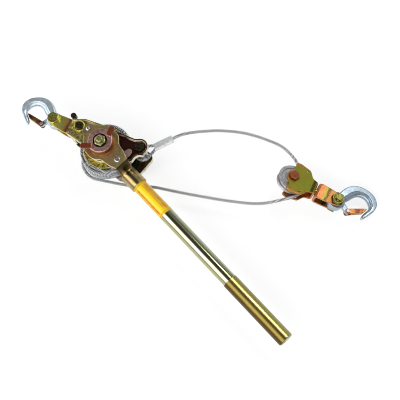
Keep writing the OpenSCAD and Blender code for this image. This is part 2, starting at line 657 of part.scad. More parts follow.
// A squared-off oval: half width w across the bowl, half thickness t along z
function oval(q, dir, sides) = [for (k = [0:sides - 1]) let (a = 360 * k / sides, e = 0.78)
    let (u = q[2] * sign(cos(a)) * pow(abs(cos(a)), e), v = q[3] * sign(sin(a)) * pow(abs(sin(a)), e))
    [q[0] - dir[1] * u, q[1] + dir[0] * u, v]];
module loft(line, n, sides) {
    p = along(line, n);
    count = len(p);
    dirs = [for (i = [0:count - 1]) let (a = p[max(i - 1, 0)], b = p[min(i + 1, count - 1)])
        unit([b[0] - a[0], b[1] - a[1]])];
    pts = [for (i = [0:count - 1]) each oval(p[i], dirs[i], sides)];
    walls = [for (i = [0:count - 2]) for (k = [0:sides - 1]) let (a = i * sides + k, b = i * sides +
        (k + 1) % sides)
        each [[a, b, b + sides], [a, b + sides, a + sides]]];
    caps = [for (k = [1:sides - 2]) each [[0, k + 1, k], [(count - 1) * sides, (count - 1) * sides + k,
        (count - 1) * sides + k + 1]]];
    polyhedron(points = pts, faces = [for (f = concat(walls, caps)) [f[2], f[1], f[0]]]);
}
module hook(k) {
    ear = k * latch_at;
    difference() {
        union() {
            rotate_extrude() polygon([[0, -hook_t / 2], [eye_out - 2, -hook_t / 2], [eye_out,
                -hook_t / 2 + 2], [eye_out, hook_t / 2 - 2], [eye_out - 2, hook_t / 2], [0,
                    hook_t / 2]]);
            loft([for (q = hook_line) [k * q[0], k * q[1], k * q[2], q[3]]], 2, 20);
            // the ear for the latch's pin
            hull() {
                translate([ear[0], ear[1], 0]) cylinder(r = 3.6, h = 5, center = true, $fn = 32);
                translate([11, 4, 0]) cylinder(r = 4, h = 5, center = true, $fn = 32);
            }
        }
        rod(cross_r + run_gap, -hook_t, hook_t);
        translate([ear[0], ear[1], 0]) rod(1.6, -hook_t, hook_t);
    }
}
latch_end = [46.3, 9.7];
latch_dir = unit(latch_end - latch_at);
latch_len = norm(latch_end - latch_at);
module at_latch(k) { translate([k * latch_at[0], k * latch_at[1], 0]) rotate([0, 0,
    heading(latch_dir)]) children(); }
module latch(k) {
    reach = k * latch_len;
    cheek = outline([[-4, -4.2, 3], [8, -3.6, 2], [reach - 3, -2, 0.8], [reach - 1.6, -0.9, 0.6],
        [reach - 8, 3.4, 1],
        [5, 3.8, 1], [-4, 4.2, 3]]);
    at_latch(k) difference() {
        union() {
            for (s = [0, 1]) mirror([0, 0, s]) slab(3.2, 4.7) polygon(cheek);
            translate([5, 2.2, -4.7]) cube([reach - 12.7, 1.6, 9.4]);
            translate([reach - 8.5, 2.1, -4.7]) rotate([0, 0, -30.7]) cube([7.6, 1.5, 9.4]);
        }
        rod(1.6 + run_gap, -6, 6);
    }
}
module latch_pin(k) {
    translate([k * latch_at[0], k * latch_at[1], 0]) union() {
        rod(1.6, -5.4, 5.4);
        for (s = [0, 1]) mirror([0, 0, s]) rod(2.6, 5.05, 6.2);
    }
}
latch_coil = 2.55;
latch_wire = 0.28;
module latch_spring(k) {
    at_latch(k) sweep(concat(
        [for (i = [0:14]) let (a = -90 - 24 * i) [latch_coil * cos(a), latch_coil * sin(a), -2.87]],
        [[8, 0.6, -2.87], [14, 0.9, -2.87]]), latch_wire, 6);
}

module at_fixed() { at_mid() translate([-nose_x, swivel_y, 0]) rotate([0, 0, fixed_angle]) children(); }
module at_fixed_hook() { at_fixed() translate([clevis_len, 0, 0]) children(); }
module fixed_swivel_stud() { at_fixed() color(gold) swivel_stud(2 * plate_t + 1.2, 7.5); }
module fixed_clevis() { at_fixed() color(gold) clevis(); }
module fixed_clevis_bolt() { at_fixed() color(gold) clevis_bolt(); }
module fixed_clevis_nut() { at_fixed() color(gold) clevis_nut(); }
module fixed_hook() { at_fixed_hook() color(steel) hook(1); }
module fixed_latch() { at_fixed_hook() color(copper) latch(1); }
module fixed_latch_pin() { at_fixed_hook() color(steel) latch_pin(1); }
module fixed_latch_spring() { at_fixed_hook() color(grey) latch_spring(1); }

// ---- travelling block ----
module at_block() { at_mid() translate([block_x, block_y, -block_drop]) rotate(block_tilt) children(); }
cheek_half = [[swivel_out - 4, 10.8, 0], [27, 13.5, 6], [20, 24.5, 6], [2, 28.5, 4], [-5, 26, 3], [-2,
    15, 7], [-9.5, 7, 6]];
cheek = outline(concat([for (i = [len(cheek_half) - 1:-1:0]) [cheek_half[i][0], -cheek_half[i][1],
    cheek_half[i][2]]], cheek_half), 4);
module block_strap() {
    at_block() color([0.55, 0.6, 0.25]) difference() {
        union() {
            for (s = [0, 1]) mirror([0, 0, s]) slab(cheek_in, cheek_out) polygon(cheek);
            rotate([90, 0, 0]) translate([0, 0, -10.8]) linear_extrude(21.6)
                polygon(concat([[swivel_out - 7, cheek_out]], arc([swivel_out - 4, cheek_out - 4],
                    4, 90,
                    0, 6), arc([swivel_out - 4, -cheek_out + 4], 4, 0, -90, 6),
                    [[swivel_out - 7, -cheek_out], [swivel_out - 7, -cheek_in]], arc([swivel_out - 4,
                        -cheek_out + 4], 4 - cheek_t, -90, 0, 4),
                    arc([swivel_out - 4, cheek_out - 4], 4 - cheek_t, 0, 90, 4), [[swivel_out - 7,
                        cheek_in]]));
        }
        rod(5 + 0.02, -cheek_out - 1, cheek_out + 1);
        for (s = [0, 1]) mirror([0, s, 0]) translate([16, 21, 0]) rod(1.6, -cheek_out - 1,
            cheek_out + 1);
        translate([swivel_out - cheek_t - 1, 0, 0]) rotate([0, 90, 0]) rod(stud_r + run_gap, 0,
            cheek_t + 2);
    }
}
module sheave_pin() {
    at_block() color(olive) union() {
        hex_head(7.2, cheek_out, cheek_out + 4.5);
        rod(5, -cheek_out - 6.5, cheek_out + 0.1);
    }
}
module sheave_pin_nut() {
    at_block() mirror([0, 0, 1]) color(gold) difference() {
        hex_head(7.5, cheek_out, cheek_out + 5.5);
        rod(5, cheek_out - 1, cheek_out + 8);
    }
}
sheave_bore = 7;
module sheave_bush() { at_block() color([0.72, 0.55, 0.3]) tube(sheave_bore, 5 + run_gap, -sheave_half,
    sheave_half); }
module sheave() {
    at_block() color(grey) rotate_extrude() polygon(concat(
        [[sheave_bore, -sheave_half], [11, -sheave_half], [12, -sheave_half + 1.2], [17, -sheave_half +
            1.2], [18, -sheave_half], [sheave_r, -sheave_half]],
        [for (i = [0:8]) let (a = -60 + 120 * i / 8) [sheave_root + rope_r * (1 - cos(a)) * 2.1,
            (rope_r + 0.5) * sin(a) * 1.1]],
        [[sheave_r, sheave_half], [18, sheave_half], [17, sheave_half - 1.2], [12, sheave_half - 1.2],
            [11, sheave_half], [sheave_bore, sheave_half]]));
}
// The moving clevis is the fixed one turned half round on its swivel
// The travelling swivel's turn from the block's own plane
moving_roll = 13;
module at_moving() { at_block() translate([swivel_out, 0, 0]) rotate([180 + moving_roll, 0, 0])
    children(); }
moving_hook_turn = -24.8;
moving_hook_size = 1.05;
module at_moving_hook() { at_moving() translate([clevis_len, 0, 0]) rotate([0, 0, moving_hook_turn])
    children(); }
module moving_swivel_stud() { at_moving() color(gold) swivel_stud(cheek_t + seat_gap, cheek_in - 0.6); }
module moving_clevis() { at_moving() color(copper) clevis(); }
module moving_clevis_bolt() { at_moving() color(gold) clevis_bolt(); }
module moving_clevis_nut() { at_moving() color(gold) clevis_nut(); }
module moving_hook() { at_moving_hook() color(steel) hook(moving_hook_size); }
module moving_latch() { at_moving_hook() color(gold) latch(moving_hook_size); }
module moving_latch_pin() { at_moving_hook() color(steel) latch_pin(moving_hook_size); }
module moving_latch_spring() { at_moving_hook() color(grey) latch_spring(moving_hook_size); }

// ---- free rope, from the drum round the sheave to the ferrule ----
// A point of the block's own plane, carried to the part's frame (mid plane heights)
function tilt(p) =
    let (y = p[1] * cos(block_roll) - p[2] * sin(block_roll), w = p[1] * sin(block_roll) +
        p[2] * cos(block_roll))
    let (x = p[0] * cos(block_pitch) + w * sin(block_pitch), z = -p[0] * sin(block_pitch) +
        w * cos(block_pitch))
    [block_x + x * cos(block_angle) - y * sin(block_angle), block_y + x * sin(block_angle) +
        y * cos(block_angle), z - block_drop];
rope_start = wind_path[0] + (rope_d + 0.25) * [cos(wind_from + 90), sin(wind_from + 90), 0];
ferrule_end = [anchor_x, pull_y, 0] + (eye_neck + ferrule_len) * [cos(eye_angle), sin(eye_angle), 0];
slack = [[41.6, -150], [44.2, -136], [45.4, -121], [44.8, -104], [42.4, -85]];
slack_z = [-12.8, -13.2, -13.8, -14.6, -15.6];
low_route = concat([for (i = [0:4]) [slack[i][0] * cos(slack[i][1]), slack[i][0] * sin(slack[i][1]),
    slack_z[i]]],
    [[22, -39.6, -16.6], [40, -36.6, -17.8], [56, -32.5, -18.4], [71, -28.3, -18.8], [87, -24, -19],
        [110, -20.5, -20.5], [133, -17.2, -21.5],
    [156, -13.5, -22], [187, -8.5, -21.5], [217.5, -3, -20], [234, 0, -17.3], [250.7, 3.5, -12],
    [265.1, 10.2, -4.5], [278, 16, 4], [290.7, 25, 3]]);
// slack loop over the sheave, in the block's own frame
loop = [[16.2, -20.5, -0.6], [20.8, -12, 0], [22.6, -4, 0], [22.4, 4.4, 0], [19.6, 11.6, 0], [15, 17.4,
    0], [6.5, 25.6, 0], [-3, 33.7, 0]];
high_route = [[266, 92.3, -19.3], [245.6, 101, -18.2], [218.7, 103, -16], [199, 102.2, -14], [179.4,
    99.5, -12], [150.2, 90.8, -8],
    [122.5, 78.2, -4], [102.6, 66.7, -1.5]];
eye_dir = [cos(eye_angle), sin(eye_angle), 0];
leave_dir = [cos(wind_from + 90), sin(wind_from + 90), 0];
rope_route = concat([rope_start, rope_start + 2 * leave_dir, rope_start + 4 * leave_dir], low_route,
    [for (p = loop) tilt(p)], high_route, [ferrule_end + 6 * eye_dir, ferrule_end + 3 * eye_dir,
    ferrule_end + 0.2 * eye_dir]);
echo(rings = len(rope_route) * 2 - 1);
module rope_run() { at_mid() color(grey) sweep(spline(rope_route, 2), rope_r, 8); }

front_side_plate();
back_side_plate();
axle_bolt();
axle_nut();
front_axle_washer();
front_shoulder_bush();
back_shoulder_bush();
anchor_bolt();
anchor_nut();
anchor_spacer();
rope_thimble();
rope_eye();
rope_ferrule();
pawl_pin();
pawl_spring();
drum_core();
drum_bush();
drum_flanges();
ratchet_wheels();
rope_lower_layers();
rope_outer_layer();
front_yoke_leg();
back_yoke_leg();
yoke_rivets();
drive_pawl_pins();
handle_tube();
grip_sleeve();
handle_label();
drive_pawl();
release_disc();
holding_pawl();
fixed_swivel_stud();
fixed_clevis();
fixed_clevis_bolt();
fixed_clevis_nut();
fixed_hook();
fixed_latch();
fixed_latch_pin();
fixed_latch_spring();
rope_run();
block_strap();
sheave_pin();
sheave_pin_nut();
sheave();
sheave_bush();
moving_swivel_stud();
moving_clevis();
moving_clevis_bolt();
moving_clevis_nut();
moving_hook();
moving_latch();
moving_latch_pin();
moving_latch_spring();
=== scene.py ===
# Finish of a hand-operated come along winch: plated steel, wire rope, forged hooks and a blank label.
# Metres, in the part's own frame. The camera, finishes and studio come first, then the rope, then the rest.
import json
import math

import bmesh
import bpy
import numpy as np
from mathutils import Matrix, Vector


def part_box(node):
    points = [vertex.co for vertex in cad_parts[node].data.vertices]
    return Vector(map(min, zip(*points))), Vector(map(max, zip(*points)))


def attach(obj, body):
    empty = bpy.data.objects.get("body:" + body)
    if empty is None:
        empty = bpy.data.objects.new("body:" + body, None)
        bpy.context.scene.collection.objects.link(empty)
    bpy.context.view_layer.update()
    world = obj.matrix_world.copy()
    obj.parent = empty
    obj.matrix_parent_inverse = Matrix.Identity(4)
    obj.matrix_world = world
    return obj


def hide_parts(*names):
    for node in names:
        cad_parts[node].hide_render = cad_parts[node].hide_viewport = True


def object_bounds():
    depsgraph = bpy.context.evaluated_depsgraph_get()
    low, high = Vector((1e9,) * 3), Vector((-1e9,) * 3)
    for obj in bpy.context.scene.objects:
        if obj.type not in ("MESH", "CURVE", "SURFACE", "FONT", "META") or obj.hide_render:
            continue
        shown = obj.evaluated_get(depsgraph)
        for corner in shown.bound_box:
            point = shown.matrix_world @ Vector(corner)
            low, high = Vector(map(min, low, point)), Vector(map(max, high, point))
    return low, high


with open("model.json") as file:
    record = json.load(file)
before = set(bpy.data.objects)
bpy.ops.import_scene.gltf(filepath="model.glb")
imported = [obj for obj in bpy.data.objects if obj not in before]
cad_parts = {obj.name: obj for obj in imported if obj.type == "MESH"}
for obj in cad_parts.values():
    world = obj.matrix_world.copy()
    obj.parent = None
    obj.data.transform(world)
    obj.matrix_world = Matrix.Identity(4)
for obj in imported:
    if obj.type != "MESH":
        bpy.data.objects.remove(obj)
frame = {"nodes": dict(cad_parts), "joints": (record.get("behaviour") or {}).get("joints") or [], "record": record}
nodes = frame["nodes"]
joints = {j["name"]: j for j in frame["joints"]}
bodyOf = {n: b for b, members in frame["record"]["behaviour"]["bodies"].items() for n in members}
scene = bpy.context.scene
cadBox = [list(c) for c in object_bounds()]
print("stage: frame loaded,", len(nodes), "pieces")

mm = 0.001
midZ = joints["drum_turn"]["pos_m"][2]  # height of the drum's mid plane


def unit(v):
    # The vectors along the last axis, each divided by its length
    v = np.asarray(v, float)
    return v / np.linalg.norm(v, axis=-1, keepdims=True)


def heading(degrees):
    # The level direction so many degrees from the pull line, and the one to its left
    a = math.radians(degrees)
    return np.array([math.cos(a), math.sin(a), 0.0]), np.array([-math.sin(a), math.cos(a), 0.0])


handleAxis, handleSide = heading(-26.3)  # at rest


def linear(code):
    # Hex sRGB to linear RGBA by the standard curve
    c = np.array([int(code[i : i + 2], 16) for i in (1, 3, 5)]) / 255
    c = np.where(c <= 0.04045, c / 12.92, ((c + 0.055) / 1.055) ** 2.4)
    return (*c.tolist(), 1.0)


def newObject(name, data):
    made = bpy.data.objects.new(name, data)
    scene.collection.objects.link(made)
    return made


view = {
    "place": (418.7, -298.7, 1213.4),  # mm from the drum's middle
    "right": (0.925, 0.362, -0.113),
    "up": (-0.321, 0.907, 0.273),
    "lens": 76.7,
    "sensor": 36,
    "reach": 20,  # metres
}


def makeCamera(s):
    # Squared up from its right and its rough up direction
    right = unit(s["right"])
    back = unit(np.cross(right, s["up"]))
    up = np.cross(back, right)
    camera = newObject("camera", bpy.data.cameras.new("camera"))
    spot = np.array(s["place"]) * mm + [0, 0, midZ]
    turn = Matrix([right, up, back]).transposed().to_4x4()
    camera.matrix_world = Matrix.Translation(spot) @ turn
    camera.data.lens = s["lens"]
    camera.data.sensor_width = s["sensor"]
    camera.data.clip_end = s["reach"]
    scene.camera = camera


makeCamera(view)


def socket(key):
    # "_1" is the socket of that number, any other key is a name
    return int(key[1:]) if key[1:].isdigit() else key.replace("_", " ")


def add(tree, kind, settings=None, **links):
    # One node: attributes and socket values from settings, links by socket
    node = tree.nodes.new(kind)
    for key, value in (settings or {}).items():
        if hasattr(node, key):
            setattr(node, key, value)
        else:
            node.inputs[socket(key)].default_value = value
    for key, source in links.items():
        tree.links.new(source, node.inputs[socket(key)])
    return node


def emptyTree(owner):
    owner.use_nodes = True
    owner.node_tree.nodes.clear()
    return owner.node_tree


def newMaterial(name):
    material = bpy.data.materials.new(name)
    tree = emptyTree(material)
    shader = add(tree, "ShaderNodeBsdfPrincipled")
    add(tree, "ShaderNodeOutputMaterial", Surface=shader.outputs[0])
    return material, tree, shader


def feed(tree, value, into):
    # A number or a colour is set on the socket, another socket is linked to it
    if isinstance(value, (int, float, tuple)):
        into.default_value = value
    elif value is not None:
        tree.links.new(value, into)


def calc(tree, kind, a, b=None, c=None):
    # One step of arithmetic
    node = add(tree, "ShaderNodeMath", {"operation": kind})
    for value, into in zip((a, b, c), node.inputs):
        feed(tree, value, into)
    return node.outputs[0]


def times(tree, a, b):
    return calc(tree, "MULTIPLY", a, b)


def opposite(tree, a):
    # 1 less a
    return calc(tree, "SUBTRACT", 1.0, a)


def along(tree, vector, axis):
    # How far a vector reaches along a fixed axis
    fixed = {"operation": "DOT_PRODUCT", "_1": [float(v) for v in axis]}
    return add(tree, "ShaderNodeVectorMath", fixed, _0=vector).outputs["Value"]


def fade(tree, value, low, high):
    # 0 below low, 1 above high, smooth between
    span = {"interpolation_type": "SMOOTHSTEP", "From Min": low, "From Max": high}
    return add(tree, "ShaderNodeMapRange", span, Value=value).outputs["Result"]


def between(tree, value, rise, fall):
    # Fades in across rise and out across fall
    return times(tree, fade(tree, value, *rise), fade(tree, value, *fall))


def noise(tree, where, size, detail=3.0):
    # Noise whose features are about size mm across
    spread = {"Scale": 1000 / size, "Detail": detail}
    return add(tree, "ShaderNodeTexNoise", spread, Vector=where).outputs["Fac"]


def ramp(tree, source, stops, blend="EASE"):
    # Colours, or plain levels, by the value of source
    node = add(tree, "ShaderNodeValToRGB", _0=source)
    band = node.color_ramp
    band.interpolation = blend
    while len(band.elements) < len(stops):
        band.elements.new(0.5)
    for element, (at, tone) in zip(band.elements, stops):
        element.position = at
        element.color = linear(tone) if isinstance(tone, str) else (tone, tone, tone, 1)
    return node.outputs["Color"]


def mixColours(tree, factor, a, b, mode="MIX"):
    # Colour a turned into b by the factor
    node = add(tree, "ShaderNodeMix", {"data_type": "RGBA", "blend_type": mode, "clamp_factor": True})
    for value, at in ((factor, 0), (a, 6), (b, 7)):
        feed(tree, value, node.inputs[at])
    return node.outputs[2]


def bumped(tree, shader, height, strength, depth):
    node = add(tree, "ShaderNodeBump", {"Strength": strength, "Distance": depth * mm}, Height=height)
    tree.links.new(node.outputs[0], shader.inputs["Normal"])


def objectPlace(tree):
    return add(tree, "ShaderNodeTexCoord").outputs["Object"]


def localAxes(tree, where, origin, x, y, z):
    # The place in mm from origin along three axes of a piece
    back = {"operation": "SUBTRACT", "_1": [float(v) for v in origin]}
    moved = add(tree, "ShaderNodeVectorMath", back, _0=where).outputs[0]
    return [along(tree, moved, np.array(axis) / mm) for axis in (x, y, z)]


def handlePlace(tree, where):
    # mm along the handle, to its left and upwards, from the drum's middle
    return localAxes(tree, where, (0, 0, midZ), handleAxis, handleSide, (0, 0, 1))


def swivelFrame(swivel, pin):
    # x outwards along the swivel, z along the cross pin, y square to both
    x = unit(joints[swivel]["axis"])
    z = unit(joints[pin]["axis"])
    return x, np.cross(z, x), z


plating = {
    "drift": (0.28, 0.72),  # the noise values over which the interference colours run
    "driftDetail": 2.2,
    "crystal": 1.5,  # mm across the dark speckle
    "crystals": (0.25, 0.62),
    "patch": 5,  # mm across the changes of roughness
    "dent": 2.2,  # mm across the bumps of the rolled sheet
    "depth": 0.25,
    "turned": (0.96, 0.8),  # cosine to the flat side's normal where the painted highlight starts, and where it is full
    "highlightPatch": 9,
    "worn": (0.25, 0.5),
    "highlightMetal": 0.6,  # share of the metallic look that the painted highlight takes
    "highlightRough": 0.45,  # share of the roughness that the painted highlight takes
    "glossyRough": 0.55,  # share that drawing or rubbing takes
}


def rimWear(tree, where, rim):
    # Painted highlight: 0 on the flat side, up to the rim's amount where the surface turns away, in patches
    facing = along(tree, add(tree, "ShaderNodeTexCoord").outputs["Normal"], rim["axis"])
    worn = times(tree, fade(tree, calc(tree, "ABSOLUTE", facing), *plating["turned"]), rim["amount"])
    worn = times(tree, worn, fade(tree, noise(tree, where, plating["highlightPatch"], 1.0), *plating["worn"]))
    if "spared" in rim:
        worn = times(tree, worn, opposite(tree, rim["spared"](tree, where)))
    return worn


def plated(
    name, tones, patch, grain, rough=(0.24, 0.4), metallic=1.0, bump=0.12, zones=None, glossy=None, rim=None
):
    # Plated steel: slow drifts of interference colour patch mm across, fine speckle of the crystals to the
    # depth grain, uneven roughness and faint bumps. Edges and corners can carry a painted highlight:
    # a pale tone, less metallic and smoother, in patches where the surface turns away from the flat side
    s = plating
    material, tree, shader = newMaterial(name)
    where = objectPlace(tree)
    drift = fade(tree, noise(tree, where, patch, s["driftDetail"]), *s["drift"])
    colour = ramp(tree, drift, [(i / (len(tones) - 1), t) for i, t in enumerate(tones)])
    if zones:
        colour = zones(tree, where, colour)
    crystals = fade(tree, noise(tree, where, s["crystal"], 2.0), *s["crystals"])
    shade = calc(tree, "MULTIPLY_ADD", crystals, grain, 1 - grain)
    colour = mixColours(tree, 1.0, colour, shade, "MULTIPLY")
    uneven = add(tree, "ShaderNodeMapRange", {"To Min": rough[0], "To Max": rough[1]})
    tree.links.new(noise(tree, where, s["patch"]), uneven.inputs["Value"])
    level = uneven.outputs["Result"]
    shader.inputs["Metallic"].default_value = metallic
    if glossy:
        level = times(tree, level, calc(tree, "MULTIPLY_ADD", glossy(tree, where), -s["glossyRough"], 1.0))
    if rim:
        # painted highlight on rims and bends: a paler tone, less metallic and smoother
        worn = rimWear(tree, where, rim)
        colour = mixColours(tree, worn, colour, linear(rim["tone"]))
        metal = calc(tree, "MULTIPLY_ADD", worn, -s["highlightMetal"] * metallic, metallic)
        tree.links.new(metal, shader.inputs["Metallic"])
        level = times(tree, level, calc(tree, "MULTIPLY_ADD", worn, -s["highlightRough"], 1.0))
    tree.links.new(colour, shader.inputs["Base Color"])
    tree.links.new(level, shader.inputs["Roughness"])
    bumped(tree, shader, noise(tree, where, s["dent"], 4.0), bump, s["depth"])
    return material


discLook = {
    "ears": 1.0,  # mm that the thumb ears stand over the disc's top
    "levels": {"wall": (-2.2, -1.0), "lip": (-12.8, -12.0), "ear": (0.2, 0.6)},  # mm from the top
    "radii": {"wall": (12, 13), "ear": (20.2, 20.8)},
    # the turned side's brown-orange is a painted reflection
    "tones": {"wall": "#a4673a", "lip": "#d88a44", "ear": "#a4583c"},
}


def discZones(tree, where, colour):
    # Rose top; the turned side painted brown-orange, a painted reflection, with a brighter band at the lip; copper
    # thumb ears
    s = discLook
    x, y, z = localAxes(tree, where, (0, 0, midZ), (1, 0, 0), (0, 1, 0), (0, 0, 1))
    r = calc(tree, "SQRT", calc(tree, "ADD", times(tree, x, x), times(tree, y, y)))
    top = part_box("release_disc")[1].z / mm - midZ / mm - s["ears"]
    over = {key: fade(tree, z, top + low, top + high) for key, (low, high) in s["levels"].items()}
    wall = times(tree, opposite(tree, over["wall"]), fade(tree, r, *s["radii"]["wall"]))
    lip = times(tree, opposite(tree, over["lip"]), wall)
    ear = calc(tree, "MAXIMUM", over["ear"], fade(tree, r, *s["radii"]["ear"]))
    for amount, key in ((wall, "wall"), (lip, "lip"), (ear, "ear")):
        colour = mixColours(tree, amount, colour, linear(s["tones"][key]))
    return colour


blockLook = {
    "sides": (20, 26),  # mm off the pull line, where the copper of the rims comes in
    "top": (1, -8),  # mm outwards from the sheave pin
    "rim": ("#c98a4c", 0.8),
    "neck": ((29, 31), (35.5, 34)),
    "neckTone": ("#3c3018", 0.85),
    "cheeks": (6.3, 9.4),  # mm from the sheave's mid plane; between the cheeks all is copper
    "inside": "#c98352",
}


def blockZones(tree, where, colour):
    # Green-gold face that turns copper towards the rims and dark at the neck
    s = blockLook
    axes = swivelFrame("moving_swivel", "sheave_turn")
    x, y, z = localAxes(tree, where, joints["sheave_turn"]["pos_m"], *axes)
    rim = calc(tree, "MAXIMUM", fade(tree, calc(tree, "ABSOLUTE", y), *s["sides"]), fade(tree, x, *s["top"]))
    for zone, (tone, amount) in ((rim, s["rim"]), (between(tree, x, *s["neck"]), s["neckTone"])):
        colour = mixColours(tree, times(tree, zone, amount), colour, linear(tone))
    return mixColours(tree, fade(tree, calc(tree, "ABSOLUTE", z), *s["cheeks"]), linear(s["inside"]), colour)


bandLook = {"wobble": 9.0, "patch": 11, "amount": 0.85}  # mm, mm across


def bands(swivel, pin, stops):
    # Interference colours in bands along a clevis, mm outwards from its swivel, a little uneven
    def zones(tree, where, colour):
        s = bandLook
        x, _, _ = localAxes(tree, where, joints[swivel]["pos_m"], *swivelFrame(swivel, pin))
        x = calc(tree, "SUBTRACT", x, s["wobble"] / 2)
        x = calc(tree, "MULTIPLY_ADD", noise(tree, where, s["patch"], 0.5), s["wobble"], x)
        low, high = stops[0][0], stops[-1][0]
        at = calc(tree, "DIVIDE", calc(tree, "SUBTRACT", x, low), high - low)
        banded = ramp(tree, at, [((m - low) / (high - low), code) for m, code in stops])
        return mixColours(tree, s["amount"], colour, banded)

    return zones


legLook = {
    "step": (43.5, 44.6),  # mm along the handle where the leg starts down to the tube
    # mm along the handle of the painted shade on the step down to the tube
    "joggle": ((44.6, 45.6), (50.2, 49.2)),
    "joggleShadeTone": ("#2e281c", 0.85),
    "clasp": (48, 50),
}


def legZones(tree, where, colour):
    # Painted shade: the step down to the tube is darkened, a painted dark reflection on its face
    tone, amount = legLook["joggleShadeTone"]
    joggle = between(tree, handlePlace(tree, where)[0], *legLook["joggle"])
    return mixColours(tree, times(tree, joggle, amount), colour, linear(tone))


def handleFrom(span):
    # 0 before the span along the handle, 1 after it
    def zone(tree, where):
        return fade(tree, handlePlace(tree, where)[0], *span)

    return zone


roundLook = {"wobble": 0.03, "patch": 16, "amount": 0.85}  # share of a turn, mm across


def roundTones(stops):
    # Painted highlight and shade round a tube, a little uneven: the colour goes by degrees from straight up, to
    # the handle's left
    def zones(tree, where, colour):
        s = roundLook
        _, y, z = handlePlace(tree, where)
        turn = calc(tree, "MULTIPLY_ADD", calc(tree, "ARCTAN2", y, z), 0.5 / math.pi, 0.5)
        wobble = calc(tree, "MULTIPLY_ADD", noise(tree, where, s["patch"]), s["wobble"], -s["wobble"] / 2)
        turn = calc(tree, "ADD", turn, wobble)
        tones = ramp(tree, turn, [(0.5 + a / 360, code) for a, code in stops])
        return mixColours(tree, s["amount"], colour, tones)

    return zones


def pullFade(low, high, code):
    # Painted shade: the face turns to a dark tone, a painted dark reflection, from low to high mm along the pull
    # line
    def zones(tree, where, colour):
        x = add(tree, "ShaderNodeSeparateXYZ", _0=where).outputs["X"]
        return mixColours(tree, fade(tree, x, low * mm, high * mm), colour, linear(code))

    return zones


# Yellow chromate over zinc: gold that drifts to green and to copper-pink
goldTones = ["#b99a4e", "#cdbb5c", "#a9a854", "#d0aa58", "#b88a4e"]
# Painted highlight along the rims of flat sheet: a pale cream tone where the surface turns from the flat side
flatRim = {"axis": (0, 0, 1), "tone": "#fbf0cc", "amount": 0.95}
fixedBands = [
    (-2, "#643c30"), (6, "#8c4e3a"), (12, "#e2a05c"), (18, "#cccc6c"), (28, "#e0da78"), (46, "#c8c66c"),
]
movingBands = [
    (-2, "#6e3c2a"), (4, "#b0683e"), (11, "#b8744a"), (15, "#8e8c34"),
    (19, "#4c3a20"), (23, "#a86e40"), (32, "#a8644a"), (46, "#7c4630"),
]
# Painted highlight and shade round the handle tube: a pale highlight near the top, a dark streak beside it
tubeStops = [
    (-100, "#98a074"), (-62, "#bab880"), (-18, "#e8e6c4"), (12, "#86845a"),
    (34, "#969c88"), (58, "#aab896"), (82, "#b2b87c"),
]
# Painted shade and highlight round the grip sleeve: dark brown on one side, bright just past the top
gripStops = [
    (-90, "#4e3c22"), (-50, "#5a4626"), (-20, "#96823e"), (18, "#c0b068"), (50, "#9c9a5e"), (88, "#7c845c"),
]

goldPlate = plated("yellow_chromate_zinc", goldTones, 12, 0.25)
fixedClevis = plated(
    "banded_chromate_clevis",
    goldTones,
    patch=12,
    grain=0.2,
    rough=(0.26, 0.4),
    metallic=0.85,
    zones=bands("fixed_swivel", "fixed_hook_tilt", fixedBands),
    # rim: painted highlight along the clevis's turned edges
    rim={"axis": unit(joints["fixed_hook_tilt"]["axis"]), "tone": "#e0b878", "amount": 0.7},
)
movingClevis = plated(
    "banded_chromate_moving_clevis",
    ["#9a8244", "#a4884c", "#8c8644"],
    patch=12,
    grain=0.3,
    rough=(0.3, 0.44),
    zones=bands("moving_swivel", "moving_hook_tilt", movingBands),
    # rim: painted highlight along the clevis's turned edges
    rim={"axis": unit(joints["moving_hook_tilt"]["axis"]), "tone": "#d0885c", "amount": 0.8},
)
legPlate = plated(
    "yellow_chromate_sheet",
    ["#b0966a", "#bfa674", "#b4a46e", "#c6aa7a"],
    patch=18,
    grain=0.52,
    rough=(0.36, 0.5),
    zones=legZones,
    glossy=handleFrom(legLook["clasp"]),
    rim={**flatRim, "spared": handleFrom(legLook["step"])},
)
framePlate = plated(
    "yellow_chromate_frame",
    ["#cdbd78", "#a39a54", "#d8cf8a", "#8f7f4a"],
    patch=12,
    grain=0.3,
    rough=(0.38, 0.5),
    # painted shade: the front plate's face goes dark maroon from the drum's axis onwards along the pull line
    zones=pullFade(-2, 20, "#4a2a26"),
    rim=flatRim,
)
# Green chromate, darkened all over: painted shade for the gap between the plates
backTones = ["#4a5c34", "#33442a", "#6a5a34", "#5c3c2c"]
backPlate = plated("shaded_green_chromate_frame", backTones, 16, 0.35, (0.36, 0.5), rim=flatRim)
discTones = ["#b98482", "#d6aaa4", "#c09490", "#b08c74"]
discPlate = plated("rose_chromate_disc", discTones, 8, 0.3, (0.36, 0.46), zones=discZones)
copperTones = ["#8f4f38", "#b3694a", "#a25a44", "#c98a5c"]
copperPlate = plated("copper_toned_chromate", copperTones, 7, 0.3, (0.24, 0.38))
blockTones = ["#8f9a30", "#9c9e36", "#a69a3a", "#92a03a"]
blockPlate = plated("olive_chromate_block", blockTones, 9, 0.34, (0.3, 0.42), zones=blockZones)
domePlate = plated("lime_chromate_bolt", ["#d2cc60", "#e6de84", "#aea648"], 4, 0.4, (0.24, 0.36))
dullBolt = plated("olive_chromate_bolt", ["#6c6a34", "#8e8840", "#54502c"], 4, 0.45, (0.3, 0.45))
latchTones = ["#7e4432", "#a8623e", "#b87848", "#b0a83c"]
latchPlate = plated("copper_and_lime_latch", latchTones, 7, 0.3, (0.26, 0.4))
darkSteel = plated("black_oxide_steel", ["#3c3c30", "#54523e", "#34342a"], 5, 0.4, (0.3, 0.45))
nutPlate = plated("green_gold_nut", ["#b8b47c", "#d6ce98", "#9c9e64"], 6, 0.3, (0.22, 0.36), 0.9)
fixedZinc = ["#bccdd8", "#ccdae3", "#b0c2cf"]
